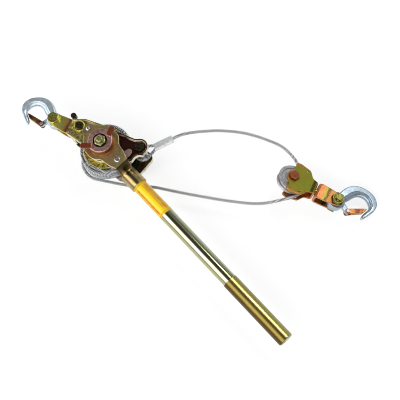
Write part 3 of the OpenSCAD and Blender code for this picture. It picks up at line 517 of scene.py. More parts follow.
forgedZinc = plated("bluish_zinc_forging", fixedZinc, 14, 0.14, (0.32, 0.42), 0.72, 0.05)
# The moving hook's zinc, a darker copy of the fixed hook's: painted shade against the brighter room its tilt faces
movingZinc = ["#a0b0bc", "#adbcc7", "#94a6b3"]
rolledZinc = plated("darkened_bluish_zinc_moving_forging", movingZinc, 14, 0.14, (0.3, 0.4), 0.8, 0.05)
brightZinc = plated("bright_zinc", ["#c9d3da", "#dfe6ea", "#b9c6d0"], 12, 0.16, (0.2, 0.32), bump=0.06)
turnedSteel = plated("turned_steel", ["#a8a8aa", "#bcbcbe", "#9c9a9c"], 12, 0.12, (0.34, 0.44))
castAluminium = plated("pressed_aluminium", ["#e6e8ea", "#f6f7f8", "#d8dbde"], 5, 0.14, (0.34, 0.46), 0.6)
pawlSteel = plated("pickled_steel", ["#a89084", "#b8a098", "#94847a"], 6, 0.25, (0.38, 0.5))
bronze = plated("sintered_bronze", ["#a8783c", "#b98a4c", "#94682e"], 4, 0.3, (0.4, 0.55))
springWire = plated("yellow_spring_wire", ["#d8c23c", "#e8d860", "#b8a030"], 3, 0.2)
tubeTones = ["#b2b48c", "#a0a888"]
tubeZones = roundTones(tubeStops)
tubePlate = plated("yellow_chromate_tube", tubeTones, 30, 0.18, (0.1, 0.16), bump=0.012, zones=tubeZones)
gripTones = ["#a89458", "#94824a"]
gripZones = roundTones(gripStops)
gripPlate = plated("bronze_chromate_sleeve", gripTones, 40, 0.24, (0.24, 0.34), bump=0.02, zones=gripZones)


label = {
    "start": 76.5,  # mm from the drum's axis to the film's inner end
    "length": 62,
    "radius": 11.3,
    "lines": [(-62, 1.3), (-45, 2.3), (14, 1.4), (31, 2.0), (47, 2.0)],  # degrees round the tube, mm wide
    "blur": (1.25, 0.75),  # where a line's ink ends and is full, as a share of its half width
    "row": 15.6,  # degrees round the tube with the same dashes
    "dashes": 0.42,  # noise features to a mm
    "inked": (0.38, 0.46),
    "margin": 5,  # mm without dashes at each end
    "soft": 0.6,
    "rule": 2.4,  # mm from each end to a thin rule round the tube
    "ruleInk": (0.75, 0.35),
    "paper": "#fddc04",
    "ink": "#cc3a12",
    "roughness": 0.26,
    "shine": 0.6,
    "ripple": (9, 0.05, 0.2),  # mm across, strength, mm deep
}


def labelFilm(s):
    # Yellow film with plain ruled lines: dashes along the tube, one thin rule round each end
    material, tree, shader = newMaterial("yellow_label_film")
    where = objectPlace(tree)
    x, y, z = handlePlace(tree, where)
    x = calc(tree, "SUBTRACT", x, s["start"])
    turn = times(tree, calc(tree, "ARCTAN2", y, z), 180 / math.pi)
    row = calc(tree, "ROUND", calc(tree, "DIVIDE", turn, s["row"]))
    spot = add(tree, "ShaderNodeCombineXYZ", X=times(tree, x, s["dashes"]), Y=row).outputs[0]
    flat = {"noise_dimensions": "2D", "Scale": 1.0, "Detail": 1.0}
    dashes = add(tree, "ShaderNodeTexNoise", flat, Vector=spot).outputs["Fac"]
    ink = 0.0
    for degrees, width in s["lines"]:
        off = calc(tree, "ABSOLUTE", calc(tree, "SUBTRACT", turn, degrees))
        reach = width / 2 / s["radius"] * 180 / math.pi
        ink = calc(tree, "MAXIMUM", ink, fade(tree, off, *(reach * b for b in s["blur"])))
    first, last = s["margin"], s["length"] - s["margin"]
    inside = between(tree, x, (first, first + s["soft"]), (last, last - s["soft"]))
    ink = times(tree, times(tree, ink, fade(tree, dashes, *s["inked"])), inside)
    for at in (s["rule"], s["length"] - s["rule"]):
        off = calc(tree, "ABSOLUTE", calc(tree, "SUBTRACT", x, at))
        ink = calc(tree, "MAXIMUM", ink, fade(tree, off, *s["ruleInk"]))
    colour = mixColours(tree, ink, linear(s["paper"]), linear(s["ink"]))
    tree.links.new(colour, shader.inputs["Base Color"])
    shader.inputs["Roughness"].default_value = s["roughness"]
    shader.inputs["Specular IOR Level"].default_value = s["shine"]
    across, strength, depth = s["ripple"]
    bumped(tree, shader, noise(tree, where, across, 1.0), strength, depth)
    return material


labelYellow = labelFilm(label)
print("stage: finishes ready")


studio = {
    "key": (0.55, 1.15, 1.7),  # from the object's middle, metres
    "keySize": 0.7,
    "keyPower": 13,
    "middle": (0.1, 0, 0),
    # level of the room by degrees from straight up, towards the handle's left (+) or right (-)
    "levels": [
        (-112, 0.8), (-100, 0.6), (-82, 0.4), (-70, 1.3), (-56, 3.0), (-30, 3.0), (-19, 0.5),
        (-12, 0.1), (16, 0.1), (26, 0.32), (62, 0.42), (78, 0.9), (100, 0.6), (112, 0.5),
    ],
    "floorHalf": 3,
    "floorGap": 0.2 * mm,
    "paper": (0.3, 0.303, 0.31, 1),
    "paperSeen": 0.76,
}


def makeWorld(s):
    # Long soft panels that run along the handle, with dark room between them: the level goes by the angle
    # between a direction, seen along the handle, and straight up
    scene.world = bpy.data.worlds.new("studio")
    tree = emptyTree(scene.world)
    way = add(tree, "ShaderNodeTexCoord").outputs["Generated"]
    high = add(tree, "ShaderNodeSeparateXYZ", _0=way).outputs["Z"]
    angle = calc(tree, "ARCTAN2", along(tree, way, handleSide), high)
    share = 0.5 / math.radians(s["levels"][-1][0])
    top = max(v for _, v in s["levels"])
    stops = [(0.5 + math.radians(degrees) * share, v / top) for degrees, v in s["levels"]]
    level = ramp(tree, calc(tree, "MULTIPLY_ADD", angle, share, 0.5), stops, "LINEAR")
    room = add(tree, "ShaderNodeBackground", Strength=times(tree, level, top))
    white = add(tree, "ShaderNodeBackground", {"Strength": 1.0, "Color": (1, 1, 1, 1)})
    seen = add(tree, "ShaderNodeLightPath").outputs["Is Camera Ray"]
    mix = add(tree, "ShaderNodeMixShader", _0=seen, _1=room.outputs[0], _2=white.outputs[0])
    add(tree, "ShaderNodeOutputWorld", Surface=mix.outputs[0])


def makeFloor(s):
    # Matt white paper just under the part, lit by itself where the camera sees it
    r, z = s["floorHalf"], cadBox[0][2] - s["floorGap"]
    mesh = bpy.data.meshes.new("floor")
    mesh.from_pydata([(-r, -r, z), (r, -r, z), (r, r, z), (-r, r, z)], [], [(0, 1, 2, 3)])
    floor = newObject("floor", mesh)
    material = bpy.data.materials.new("white_paper_floor")
    tree = emptyTree(material)
    path = add(tree, "ShaderNodeLightPath").outputs
    seen = calc(tree, "MAXIMUM", path["Is Camera Ray"], path["Is Glossy Ray"])
    seen = calc(tree, "MAXIMUM", seen, path["Is Transmission Ray"])
    paper = add(tree, "ShaderNodeBsdfDiffuse", {"Color": s["paper"]})
    glow = add(tree, "ShaderNodeEmission", Strength=times(tree, seen, s["paperSeen"]))
    both = add(tree, "ShaderNodeAddShader", _0=paper.outputs[0], _1=glow.outputs[0])
    add(tree, "ShaderNodeOutputMaterial", Surface=both.outputs[0])
    mesh.materials.append(material)


def makeKey(s):
    # A round lamp that faces the object's middle
    lamp = bpy.data.lights.new("key", "AREA")
    lamp.shape = "DISK"
    lamp.size = s["keySize"]
    lamp.energy = s["keyPower"]
    way = Vector(s["key"])
    turn = way.to_track_quat("Z", "Y").to_matrix().to_4x4()
    newObject("key", lamp).matrix_world = Matrix.Translation(way + Vector(s["middle"])) @ turn


scene.view_settings.view_transform = "Standard"
scene.cycles.filter_width = 1.0  # a crisp lens: fine strands and rims stay apart
makeWorld(studio)
makeFloor(studio)
makeKey(studio)


def place(name, body, mesh, material, stands, angle):
    # The finished piece on its body, in place of its CAD nodes; edges of more than angle degrees stay sharp
    piece = newObject(name, mesh)
    mesh.shade_smooth()
    mesh.set_sharp_from_angle(angle=math.radians(angle))
    weigh = piece.modifiers.new("flat_faces", "WEIGHTED_NORMAL")
    weigh.keep_sharp = True
    mesh.materials.clear()
    mesh.materials.append(material)
    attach(piece, body)
    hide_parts(*stands)
    return piece


def gridMesh(name, points, caps=True, uv=None):
    # A surface through points[i][j]: rings i joined in order, each closed round j, flat caps on the ends
    rings, sides = points.shape[:2]
    i, j = np.meshgrid(np.arange(rings - 1), np.arange(sides), indexing="ij")
    k = (j + 1) % sides
    corners = [i * sides + j, i * sides + k, (i + 1) * sides + k, (i + 1) * sides + j]
    faces = np.stack(corners, -1).reshape(-1, 4).tolist()
    if caps:
        faces += [list(range(sides))[::-1], list(range((rings - 1) * sides, rings * sides))]
    mesh = bpy.data.meshes.new(name)
    mesh.from_pydata(points.reshape(-1, 3).tolist(), [], faces)
    if uv is not None:  # uv[0] runs along the rings, uv[1] round them with one value more than the sides
        u = np.stack([uv[0][i], uv[0][i], uv[0][i + 1], uv[0][i + 1]], -1)
        v = np.stack([uv[1][j], uv[1][j + 1], uv[1][j + 1], uv[1][j]], -1)
        flat = np.zeros((len(mesh.loops), 2), np.float32)
        flat[: u.size] = np.stack([u.ravel(), v.ravel()], -1)
        mesh.uv_layers.new(name="along").data.foreach_set("uv", flat.ravel())
    return mesh


def smoothRoute(points, steps):
    # Catmull-Rom spans through the points, steps to a span
    p = np.asarray(points, float)
    i = np.arange(len(p) - 1)
    a, b, c, d = (p[np.clip(i + k, 0, len(p) - 1)][:, None] for k in (-1, 0, 1, 2))
    s = (np.arange(steps) / steps)[None, :, None]
    spans = 0.5 * (2 * b + (c - a) * s + (2 * a - 5 * b + 4 * c - d) * s**2 + (3 * b - a - 3 * c + d) * s**3)
    return np.vstack([spans.reshape(-1, 3), p[-1:]])


def evenRoute(path, step):
    # The same line with its points an even step apart, and how far along it each one is
    run = np.concatenate([[0], np.cumsum(np.linalg.norm(np.diff(path, axis=0), axis=1))])
    at = np.linspace(0, run[-1], max(int(run[-1] / step), 2) + 1)
    return np.stack([np.interp(at, run, path[:, k]) for k in range(3)], 1), at


def carriedSides(path, first):
    # Two directions square to the path at each point, the first turned along it as little as it can be
    t = unit(np.gradient(path, axis=0))
    n = np.zeros_like(t)
    side = unit(first - t[0] * np.dot(first, t[0]))
    for i, d in enumerate(t):
        side = unit(side - d * np.dot(side, d))
        n[i] = side
    return n, np.cross(t, n)


def ringsAlong(path, first, reach, turn):
    # A ring square to the path at each point: reach from it at the angle turn, by ring and by side
    n, b = carriedSides(path, np.array(first, float))
    around = n[:, None] * np.cos(turn)[..., None] + b[:, None] * np.sin(turn)[..., None]
    return path[:, None] + np.asarray(reach)[..., None] * around


def sweptTube(name, path, radius, sides=12, first=(0, 0, 1)):
    turn = np.linspace(0, 2 * math.pi, sides, endpoint=False)
    return gridMesh(name, ringsAlong(path, first, radius, turn[None]))


rope = {
    "radius": 2.4 * mm,
    "strands": 6,
    "samples": 6,  # points across a strand
    "lay": 27 * mm,  # one turn of a strand round the rope
    "step": 1.3 * mm,
    "smooth": 80,  # degrees up to which its surface shades as round
    "ink": ("#1e2022", "#f4f6f8", "#7d8082"),  # painted shade in the strands' hollows, crown, dull patches
    "groove": (0.08, 0.4),  # share of a strand's width from its hollow where the crown's tone comes in
    "wires": (3.2, 4.0),  # slanting wires to a radius of length, and to a strand
    "wireShade": (0.35, 0.66),
    "patch": (6, 0.2),  # mm across, amount
    "metallic": 0.8,
    "roughness": 0.3,
    "bump": (0.5, 0.2),
}


def strandedRope(name, path, s):
    # Ring radius r(a) = c cos a + sqrt(q^2 - c^2 sin^2 a), the outline of six strands of radius q whose
    # centres lie c from the rope's centre; the ring turns once in each lay length
    path, run = evenRoute(path, s["step"])
    count = s["strands"] * s["samples"]
    q = s["radius"] / 3
    c = s["radius"] - q
    half = math.pi / s["strands"]
    around = np.arange(count) * 2 * math.pi / count
    local = (around + half) % (2 * half) - half
    r = c * np.cos(local) + np.sqrt(np.maximum(q**2 - (c * np.sin(local)) ** 2, 0))
    turn = around[None] + (2 * math.pi / s["lay"] * run)[:, None]
    rings = ringsAlong(path, (0, 0, 1), r[None], turn)
    return gridMesh(name, rings, uv=(run / s["radius"], np.arange(count + 1) / s["samples"])), path


def wireRope(s):
    # Galvanised wires: grey zinc, painted shade in the grooves between strands, fine slanting wires in each strand
    # with painted shade between them
    material, tree, shader = newMaterial("galvanised_wire_rope")
    groove, crown, dull = (linear(code) for code in s["ink"])
    uv = add(tree, "ShaderNodeUVMap", {"uv_map": "along"}).outputs[0]
    run, side = add(tree, "ShaderNodeSeparateXYZ", _0=uv).outputs[:2]
    across = calc(tree, "ABSOLUTE", calc(tree, "SUBTRACT", calc(tree, "FRACT", side), 0.5))
    slant = calc(tree, "MULTIPLY_ADD", run, s["wires"][0], times(tree, side, s["wires"][1]))
    wires = calc(tree, "ABSOLUTE", calc(tree, "SINE", times(tree, slant, math.pi)))
    tone = mixColours(tree, fade(tree, across, *s["groove"]), groove, crown)
    tone = mixColours(tree, 1.0, tone, calc(tree, "MULTIPLY_ADD", wires, *s["wireShade"]), "MULTIPLY")
    patch, amount = s["patch"]
    tone = mixColours(tree, times(tree, noise(tree, objectPlace(tree), patch), amount), tone, dull)
    tree.links.new(tone, shader.inputs["Base Color"])
    shader.inputs["Metallic"].default_value = s["metallic"]
    shader.inputs["Roughness"].default_value = s["roughness"]
    bumped(tree, shader, wires, *s["bump"])
    return material


galvanised = wireRope(rope)

winding = {
    "radius": 38.1,
    "from": -168,  # degrees round the drum where the free rope joins it
    "turns": 4.75,
    "samples": 96,  # points to a turn
    "low": -12.4,
    "high": 14.0,
    "slack": [(313, 55, 2.3), (673, 50, 1.4)],  # degrees along the rope, reach in degrees, mm off the layer
    "tuck": (26, 4.6),  # the last degrees, over which the end dives under by so many mm
    "straight": (4.8, 2),  # mm of the straight end and its middle point
    "gap": 0.25,  # mm to the free rope's end
}
under = {"turns": 5.6, "from": 20, "samples": 80, "half": 2.42}  # the layer beneath, wound the other way
eye = {
    "anchor": np.array([53.5, 16.0, 0.0]),  # the rope's dead end, mm from the drum's middle
    "heading": 47,
    "radius": 10.8,
    "gap": 2.45,  # mm from the middle line to each leg of the eye
    "neck": 21.5,  # mm from the anchor to where the legs end, in the ferrule
    "open": 0.86,  # how far the round part reaches into the gap
    "samples": 60,
    "step": 1.0 * mm,
    "ferrule": 50.5,  # mm from the anchor to the ferrule's outer end
}
freeRun = {
    # radius, degrees and height off the drum, under its slack turns
    "slack": [
        (41.6, -150, -12.8), (44.2, -136, -13.2), (45.4, -121, -13.8), (44.8, -104, -14.6),
        (42.4, -85, -15.6),
    ],
    # x, y, z from the drum's middle, under the handle to the sheave
    "low": [
        (22, -39.6, -16.6), (40, -36.6, -17.8), (56, -32.5, -18.4), (71, -28.3, -18.8), (87, -24, -19),
        (110, -20.5, -20.5), (133, -17.2, -21.5), (156, -13.5, -22), (187, -8.5, -21.5), (217.5, -3, -20),
        (234, 0, -17.3), (250.7, 3.5, -12), (265.1, 10.2, -4.5), (278, 16, 4), (290.7, 25, 3),
    ],
    # x, y, z in the sheave's own axes
    "loop": [
        (16.2, -20.5, -0.6), (20.8, -12, 0), (22.6, -4, 0), (22.4, 4.4, 0),
        (19.6, 11.6, 0), (15, 17.4, 0), (6.5, 25.6, 0), (-3, 33.7, 0),
    ],
    # back over the top to the ferrule
    "high": [
        (266, 92.3, -19.3), (245.6, 101, -18.2), (218.7, 103, -16), (199, 102.2, -14), (179.4, 99.5, -12),
        (150.2, 90.8, -8), (122.5, 78.2, -4), (102.6, 66.7, -1.5),
    ],
    "start": (0, 2, 4),  # mm of straight rope off the winding
    "end": (6, 3, 0.2),  # mm of straight rope into the ferrule
    "samples": 8,
    "relaxed": {"span": (195, 292), "soft": 15, "below": 40, "rounds": 56, "pull": 0.9},  # mm; y for below
}
eyeDir, eyeSide = heading(eye["heading"])


def lifted(points):
    # mm from the drum's middle to metres in the part's frame
    return np.asarray(points, float) * mm + [0, 0, midZ]


def aboutDrum(r, degrees, z):
    # Points from radius, angle and height
    a = np.radians(degrees)
    return np.stack([r * np.cos(a), r * np.sin(a), z], 1)


def windingRoute(w):
    # A helix about the drum that climbs evenly from its low end to its high end, with straight ends
    run = np.linspace(0, 360 * w["turns"], int(w["samples"] * w["turns"]))
    r = w["radius"] + sum(h * np.exp(-(((run - at) / wide) ** 2)) for at, wide, h in w["slack"])
    r = r - w["tuck"][1] * np.clip((run - run[-1]) / w["tuck"][0] + 1, 0, 1) ** 2
    turns = aboutDrum(r, w["from"] - run, np.linspace(w["low"], w["high"], len(run)))
    ahead, _ = heading(w["from"] + 90)
    far, near = w["straight"]
    out = turns[-1] + unit(turns[-1] - turns[-2]) * far
    return np.vstack([turns[0] + ahead * far, turns[0] + ahead * near, turns[1:], out]), turns[0], ahead


def underRoute(w, box):
    # An even helix that fills the CAD layer's box from end to end
    low, high = (corner.z / mm for corner in box)
    run = np.linspace(0, 360 * w["turns"], int(w["samples"] * w["turns"]))
    z = np.linspace(low + w["half"], high - w["half"], len(run)) - midZ / mm
    return aboutDrum(box[1].x / mm - w["half"], w["from"] + run, z)


def relaxedRoute(path, s):
    # Evens the bends of the part of a route whose x lies in span and y below a line
    path = path.copy()
    soft = np.clip(np.minimum(path[:, 0] - s["span"][0], s["span"][1] - path[:, 0]) / s["soft"], 0, 1)
    soft[path[:, 1] > s["below"]] = 0
    for _ in range(s["rounds"]):
        middle = (path[:-2] + path[2:]) / 2
        path[1:-1] += (middle - path[1:-1]) * s["pull"] * soft[1:-1, None]
    return path


def freeRoute(w, s):
    # From the drum, under the handle, round the sheave and back to the ferrule
    _, first, ahead = windingRoute(w)
    start = [first + ahead * (w["straight"][0] + w["gap"] + r) for r in s["start"]]
    slack = aboutDrum(*np.array(s["slack"]).T)
    at = np.array(joints["sheave_turn"]["pos_m"]) / mm - [0, 0, midZ / mm]
    loop = at + np.array(s["loop"]) @ np.array(swivelFrame("moving_swivel", "sheave_turn"))
    end = [eye["anchor"] + (eye["ferrule"] + r) * eyeDir for r in s["end"]]
    return np.vstack([start, slack, s["low"], loop, s["high"], end])


def eyeRoute(s):
    # Round the spacer and back beside itself into the ferrule
    turn = math.acos(s["gap"] / s["radius"]) * s["open"]
    a = np.linspace(turn, 2 * math.pi - turn, s["samples"])
    loop = s["radius"] * np.stack([np.cos(a), np.sin(a)], 1)
    flat = np.vstack([(s["neck"], s["gap"]), loop, (s["neck"], -s["gap"])])
    return s["anchor"] + flat[:, :1] * eyeDir + flat[:, 1:] * eyeSide


freePath = relaxedRoute(smoothRoute(freeRoute(winding, freeRun), freeRun["samples"]), freeRun["relaxed"])
mesh, freeLine = strandedRope("free_rope", lifted(freePath), rope)
freeRope = place("free_rope", "frame", mesh, galvanised, ["rope_run"], rope["smooth"])
layer = underRoute(under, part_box("rope_lower_layers"))
laid = [
    ("drum_rope", "drum", "rope_outer_layer", windingRoute(winding)[0], rope),
    ("under_rope", "drum", "rope_lower_layers", layer, rope),
    ("eye_rope", "frame", "rope_eye", eyeRoute(eye), {**rope, "step": eye["step"]}),
]
for name, body, node, route, s in laid:
    mesh, _ = strandedRope(name, lifted(route), s)
    place(name, body, mesh, galvanised, [node], rope["smooth"])
print("stage: rope laid")


pressed = {
    "from": 0.55,  # mm of edge rounding from which a piece is softened as a whole, as pressed sheet is
    "voxel": 0.5,  # of the edge rounding
    "rounds": 4,
    "keep": 0.3,  # share of the triangles left after thinning
    "smooth": 60,
}
worked = {"merge": 2e-6, "flat": 0.5, "angle": 32, "segments": 2}  # metres, degrees, degrees, steps


def soften(piece, voxel, rounds):
    # An even skin over the piece, relaxed so that rims and bends turn round
    skin = piece.modifiers.new("skin", "REMESH")
    skin.mode = "VOXEL"
    skin.voxel_size = voxel
    soft = piece.modifiers.new("soften", "SMOOTH")
    soft.factor = 0.5
    soft.iterations = rounds


def settledMesh(piece, tools=()):
    # What the modifiers make of the piece, back in metres; the working meshes and their objects go
    bpy.context.view_layer.update()
    done = bpy.data.meshes.new_from_object(piece.evaluated_get(bpy.context.evaluated_depsgraph_get()))
    name = piece.data.name
    for old in [o.data for o in (piece, *tools)]:
        bpy.data.meshes.remove(old)
    done.name = name
    done.transform(Matrix.Scale(mm, 4))
    return done


def pressedMesh(mesh, edge):
    # The piece softened in mm, then thinned where it is flat
    mesh.transform(Matrix.Scale(1 / mm, 4))
    holder = newObject("holder", mesh)
    soften(holder, edge * pressed["voxel"], pressed["rounds"])
    thin = holder.modifiers.new("thin", "DECIMATE")
    thin.ratio = pressed["keep"]
    return settledMesh(holder)


def finishedCopy(node, body, material, edge):
    # The same shape with its seams merged, flat faces joined and each sharp edge rounded by edge mm
    name = node + "_finished"
    work = bmesh.new()
    work.from_mesh(nodes[node].data)
    bmesh.ops.remove_doubles(work, verts=work.verts, dist=worked["merge"])
    if edge < pressed["from"]:
        flat = math.radians(worked["flat"])
        bmesh.ops.dissolve_limit(work, angle_limit=flat, verts=work.verts, edges=work.edges)
    mesh = bpy.data.meshes.new(name)
    work.to_mesh(mesh)
    work.free()
    if edge >= pressed["from"]:
        place(name, body, pressedMesh(mesh, edge), material, [node], pressed["smooth"])
        return
    piece = place(name, body, mesh, material, [node], worked["angle"])
    if edge:
        bevel = piece.modifiers.new("edges", "BEVEL")
        bevel.width = edge * mm
        bevel.segments = worked["segments"]
        bevel.limit_method = "ANGLE"
        bevel.angle_limit = math.radians(worked["angle"])
        bevel.miter_outer = "MITER_ARC"
        bevel.use_clamp_overlap = False
        piece.modifiers.move(1, 0)


finishes = {  # finish, mm of edge rounding
    "front_side_plate": (framePlate, 0.8),
    "back_side_plate": (backPlate, 0.8),
    "axle_bolt": (nutPlate, 0.4),
    "axle_nut": (nutPlate, 0.25),
    "front_axle_washer": (darkSteel, 0.3),
    "front_shoulder_bush": (nutPlate, 0.3),
    "back_shoulder_bush": (nutPlate, 0.3),
    "anchor_bolt": (darkSteel, 0.4),
    "anchor_nut": (darkSteel, 0.4),
    "anchor_spacer": (turnedSteel, 0.2),
    "rope_thimble": (brightZinc, 0.3),
    "rope_ferrule": (castAluminium, 0.6),
    "pawl_pin": (darkSteel, 0.4),
    "drum_core": (turnedSteel, 0),
    "drum_bush": (bronze, 0),
    "drum_flanges": (goldPlate, 0.5),
    "ratchet_wheels": (goldPlate, 0.3),
    "front_yoke_leg": (legPlate, 0.8),
    "back_yoke_leg": (goldPlate, 0.8),
    "yoke_rivets": (brightZinc, 0),
    "drive_pawl_pins": (brightZinc, 0),
    "handle_tube": (tubePlate, 0.3),
    "grip_sleeve": (gripPlate, 0.5),
    "handle_label": (labelYellow, 0),
    "drive_pawl": (pawlSteel, 0.6),
    "release_disc": (discPlate, 0.6),
    "holding_pawl": (darkSteel, 0.6),
    "fixed_swivel_stud": (goldPlate, 0.3),
    "fixed_clevis": (fixedClevis, 0.8),
    "fixed_clevis_bolt": (domePlate, 0.3),
    "fixed_clevis_nut": (domePlate, 0.4),
    "fixed_latch": (latchPlate, 0.2),
    "fixed_latch_pin": (turnedSteel, 0.3),
    "block_strap": (blockPlate, 0.8),
    "sheave_pin": (copperPlate, 0.3),
    "sheave_pin_nut": (goldPlate, 0.4),
    "sheave": (turnedSteel, 0.4),
    "sheave_bush": (bronze, 0.2),
    "moving_swivel_stud": (goldPlate, 0.3),
    "moving_clevis": (movingClevis, 0.8),
    "moving_clevis_bolt": (dullBolt, 0.3),
    "moving_clevis_nut": (dullBolt, 0.4),
    "moving_latch": (latchPlate, 0.2),
    "moving_latch_pin": (turnedSteel, 0.3),
}
for node, (material, edge) in finishes.items():
    finishedCopy(node, bodyOf[node], material, edge)
print("stage: pieces finished")


hook = {  # mm from the cross bolt: x outwards, y towards the mouth
    "line": [  # x, y of the forging's middle line, half width in the bowl's plane, half thickness
        (4, -2.5, 7.5, 5.5), (10, -6.5, 7.8, 5.9), (16, -11, 8.7, 6.1), (22.3, -15.4, 8.8, 6.2),
        (28.5, -17.6, 8.5, 6.2), (35.7, -17.7, 7.7, 6.1), (42.5, -15.4, 7, 6), (48.7, -11.2, 6.9, 5.9),
        (52.9, -5.4, 6.9, 5.8), (54.4, 1.1, 6.4, 5.6), (53.2, 6.8, 4.9, 5.2), (49.4, 11.8, 3.7, 4.8),
        (44.8, 15.8, 3.3, 4.4), (40.7, 19.2, 2.9, 3.8), (37.9, 22.3, 2.1, 2.9), (36.6, 24.3, 0.8, 1.2),
    ],
    "samples": 6,  # to each point of the line
    "section": {"outer": 0.26, "flat": (-0.6, 0.16), "inner": 0.26, "saddle": 0.86},  # shares of half widths
    "eye": {"outer": 12.5, "inner": 3, "half": 6.5, "round": 2.2, "sides": 72},
    "bore": 5.08,
    "ear": {"radius": 3.6, "root": (11, 4), "rootRadius": 4, "half": 2.5, "sides": 32},
    "latchHole": 1.62,
    "latch": (16.6, 14.2),  # the latch's pin
    "latchEnd": (46.3, 9.7),  # the latch's tip
    "tool": (20, 64),  # half length and sides of the tools that bore the holes
    "voxel": 0.55,
    "rounds": 5,
    "smooth": 50,
}


def hookAxes(end, turn):
    # Columns x outwards, y to the mouth, z along the cross bolt, after a turn about it; and the bolt's place
    x, y, z = swivelFrame(end + "_swivel", end + "_hook_tilt")
    c, s = math.cos(turn), math.sin(turn)
    return np.stack([c * x + s * y, c * y - s * x, z], 1), np.array(joints[end + "_hook_tilt"]["pos_m"])


def forgingProfile(s):
    # Round outer edge, wide flat face, a crease, then a round saddle on the inner side; u inwards, v across
    a = np.linspace(0, math.pi / 2, 8)
    outer = np.stack([s["outer"] - 1 - s["outer"] * np.cos(a), np.sin(a)], 1)
    flat = np.stack([np.linspace(*s["flat"], 6), np.ones(6)], 1)
    saddle = np.stack([s["inner"] + (1 - s["inner"]) * np.sin(a), s["saddle"] * np.cos(a)], 1)
    top = np.vstack([outer, flat, saddle])
    return np.vstack([top, top[-2:0:-1] * [1, -1]])


def circle(r, sides):
    a = np.linspace(0, 2 * math.pi, sides + 1)[:-1]
    return np.stack([r * np.cos(a), r * np.sin(a)], 1)


def outwards(mesh, merge=0.0):
    # Points closer than merge joined, every face turned outwards
    work = bmesh.new()
    work.from_mesh(mesh)
    if merge:
        bmesh.ops.remove_doubles(work, verts=work.verts, dist=merge)
    bmesh.ops.recalc_face_normals(work, faces=work.faces)
    work.to_mesh(mesh)
    work.free()
    return mesh


def revolved(name, profile, sides):
    # r, z pairs turned about the z axis into a closed ring
    rings = [np.column_stack([circle(r, sides), np.full(sides, z)]) for r, z in profile]
    return outwards(gridMesh(name, np.stack([*rings, rings[0]]), caps=False), 1e-4)


def cylinder(name, r, half, sides):
    # About z, from -half to half
    return outwards(gridMesh(name, np.stack([np.insert(circle(r, sides), 2, z, 1) for z in (-half, half)])))


def hookBowl(s, k):
    # The profile carried along the middle line and scaled to its widths
    line = smoothRoute([(k * x, k * y, k * w) for x, y, w, _ in s["line"]], s["samples"])
    thick = smoothRoute([(t, 0, 0) for *_, t in s["line"]], s["samples"])[:, 0]
    way = unit(np.gradient(line[:, :2], axis=0))
    inward = np.stack([-way[:, 1], way[:, 0]], 1)
    shape = forgingProfile(s["section"])
    flat = line[:, None, :2] + inward[:, None] * (shape[None, :, 0] * line[:, 2:3])[..., None]
    return np.concatenate([flat, (shape[None, :, 1] * thick[:, None])[..., None]], -1)


def hookEye(s):
    # A thick ring with rounded outer edges
    a = np.linspace(0, math.pi / 2, 7)
    edge = np.stack([s["outer"] + s["round"] * (np.sin(a) - 1), s["half"] + s["round"] * (np.cos(a) - 1)], 1)
    inner = s["inner"], s["half"]
    profile = np.vstack([inner, edge, edge[::-1] * [1, -1], np.multiply(inner, (1, -1))])
    return revolved("eye", profile, s["sides"])


def hookEar(s, pin):
    # The hull of a disc at the latch's pin and one at the eye
    mesh = bpy.data.meshes.new("ear")
    discs = pin + circle(s["radius"], s["sides"]), s["root"] + circle(s["rootRadius"], s["sides"])
    work = bmesh.new()
    for p in np.vstack([np.insert(disc, 2, z, 1) for disc in discs for z in (-s["half"], s["half"])]):
        work.verts.new(p)
    bmesh.ops.convex_hull(work, input=work.verts)
    work.to_mesh(mesh)
    work.free()
    return mesh


def forgeHook(name, node, k, axes, origin, material):
    # The bowl joined to the eye and the latch's ear, softened, then bored; worked out in mm
    s = hook
    base = newObject(name, gridMesh(name, hookBowl(s, k)))
    pin = np.array(s["latch"]) * k
    pinHole = cylinder("pin_hole", s["latchHole"], *s["tool"])
    pinHole.transform(Matrix.Translation((*pin, 0)))
    tools = []

    def cut(operation, meshes):
        for mesh in meshes:
            tools.append(newObject(mesh.name, mesh))
            step = base.modifiers.new(operation, "BOOLEAN")
            step.operation = operation
            step.object = tools[-1]

    cut("UNION", [hookEye(s["eye"]), hookEar(s["ear"], pin)])
    soften(base, s["voxel"], s["rounds"])
    cut("DIFFERENCE", [cylinder("bore", s["bore"], *s["tool"]), pinHole])
    done = settledMesh(base, tools)
    done.transform(Matrix.Translation(origin) @ Matrix(axes.tolist()).to_4x4())
    place(name, node, done, material, [node], s["smooth"])


def coilPath(radius, start, turns, rise, steps):
    # A helix of so many turns from the angle start that climbs by rise; turns below 0 run the other way
    a = start + np.sign(turns) * np.linspace(0, 2 * math.pi * abs(turns), int(steps * abs(turns)) + 1)
    return np.stack([radius * np.cos(a), radius * np.sin(a), rise * np.linspace(0, 1, len(a))], 1)


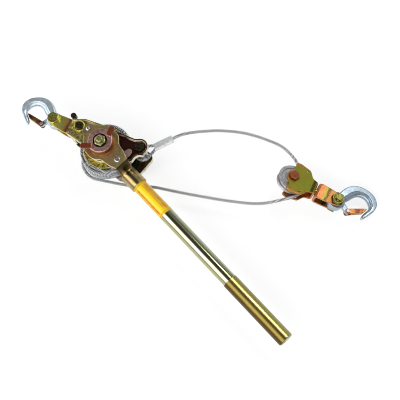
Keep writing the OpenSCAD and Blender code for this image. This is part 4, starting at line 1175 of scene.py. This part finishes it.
pawlSpring = {  # mm from the holding pawl's pin
    "radius": 7.8,
    "turns": 2,
    "rise": 4.8,
    "low": 29.55,  # height of the coil's first turn over the mid plane
    "legs": ((5, 2.5), (-5, -9)),  # y of the straight end before the coil, and of the one after it
    "wire": 0.85,
    "samples": 28,  # points to a turn
}
latchSpring = {  # mm from the latch's pin
    "radius": 2.55,
    "turns": -336 / 360,
    "legs": [(8, 0.6, 0), (14, 0.9, 0)],
    "low": -2.87,
    "wire": 0.28,
    "samples": 40,
    "sides": 10,
}


def pawlSpringMesh(s):
    # Two turns round the pin with a straight leg each way
    r, rise = s["radius"], s["rise"]
    coil = coilPath(r, math.pi, s["turns"], rise, s["samples"])
    before, after = s["legs"]
    route = np.vstack([[(-r, y, 0) for y in before], coil, [(-r, y, rise) for y in after]])
    pin = np.array(joints["holding_pawl_tilt"]["pos_m"]) / mm
    return sweptTube("pawl_spring_wire", (route + [0, 0, s["low"]] + pin) * mm, s["wire"] * mm)


def latchSpringMesh(name, s, k, axes, origin):
    # Most of a turn round the latch's pin, then a leg along the latch
    toEnd = np.array(hook["latchEnd"]) - hook["latch"]
    lean, across = heading(math.degrees(math.atan2(toEnd[1], toEnd[0])))
    coil = coilPath(s["radius"], -math.pi / 2, s["turns"], 0.0, s["samples"])
    route = np.vstack([coil, s["legs"]]) + [0, 0, s["low"]]
    route = route @ np.array([lean, across, (0, 0, 1)]) + [*(np.array(hook["latch"]) * k), 0]
    return sweptTube(name, route * mm @ axes.T + origin, s["wire"] * mm, s["sides"], axes[:, 2])


roundWire = 60  # degrees up to which a wire shades as round
place("pawl_spring_wire", "frame", pawlSpringMesh(pawlSpring), springWire, ["pawl_spring"], roundWire)
ends = {  # turn about the cross bolt in degrees, scale, finish
    "fixed": (0.0, 1.0, forgedZinc),
    "moving": (-24.8, 1.05, rolledZinc),
}
for end, (turn, k, finish) in ends.items():
    axes, origin = hookAxes(end, math.radians(turn))
    forgeHook(end + "_forging", end + "_hook", k, axes, origin, finish)
    mesh = latchSpringMesh(end + "_latch_wire", latchSpring, k, axes, origin)
    place(end + "_latch_wire", end + "_latch", mesh, turnedSteel, [end + "_latch_spring"], roundWire)
print("stage: hooks forged")
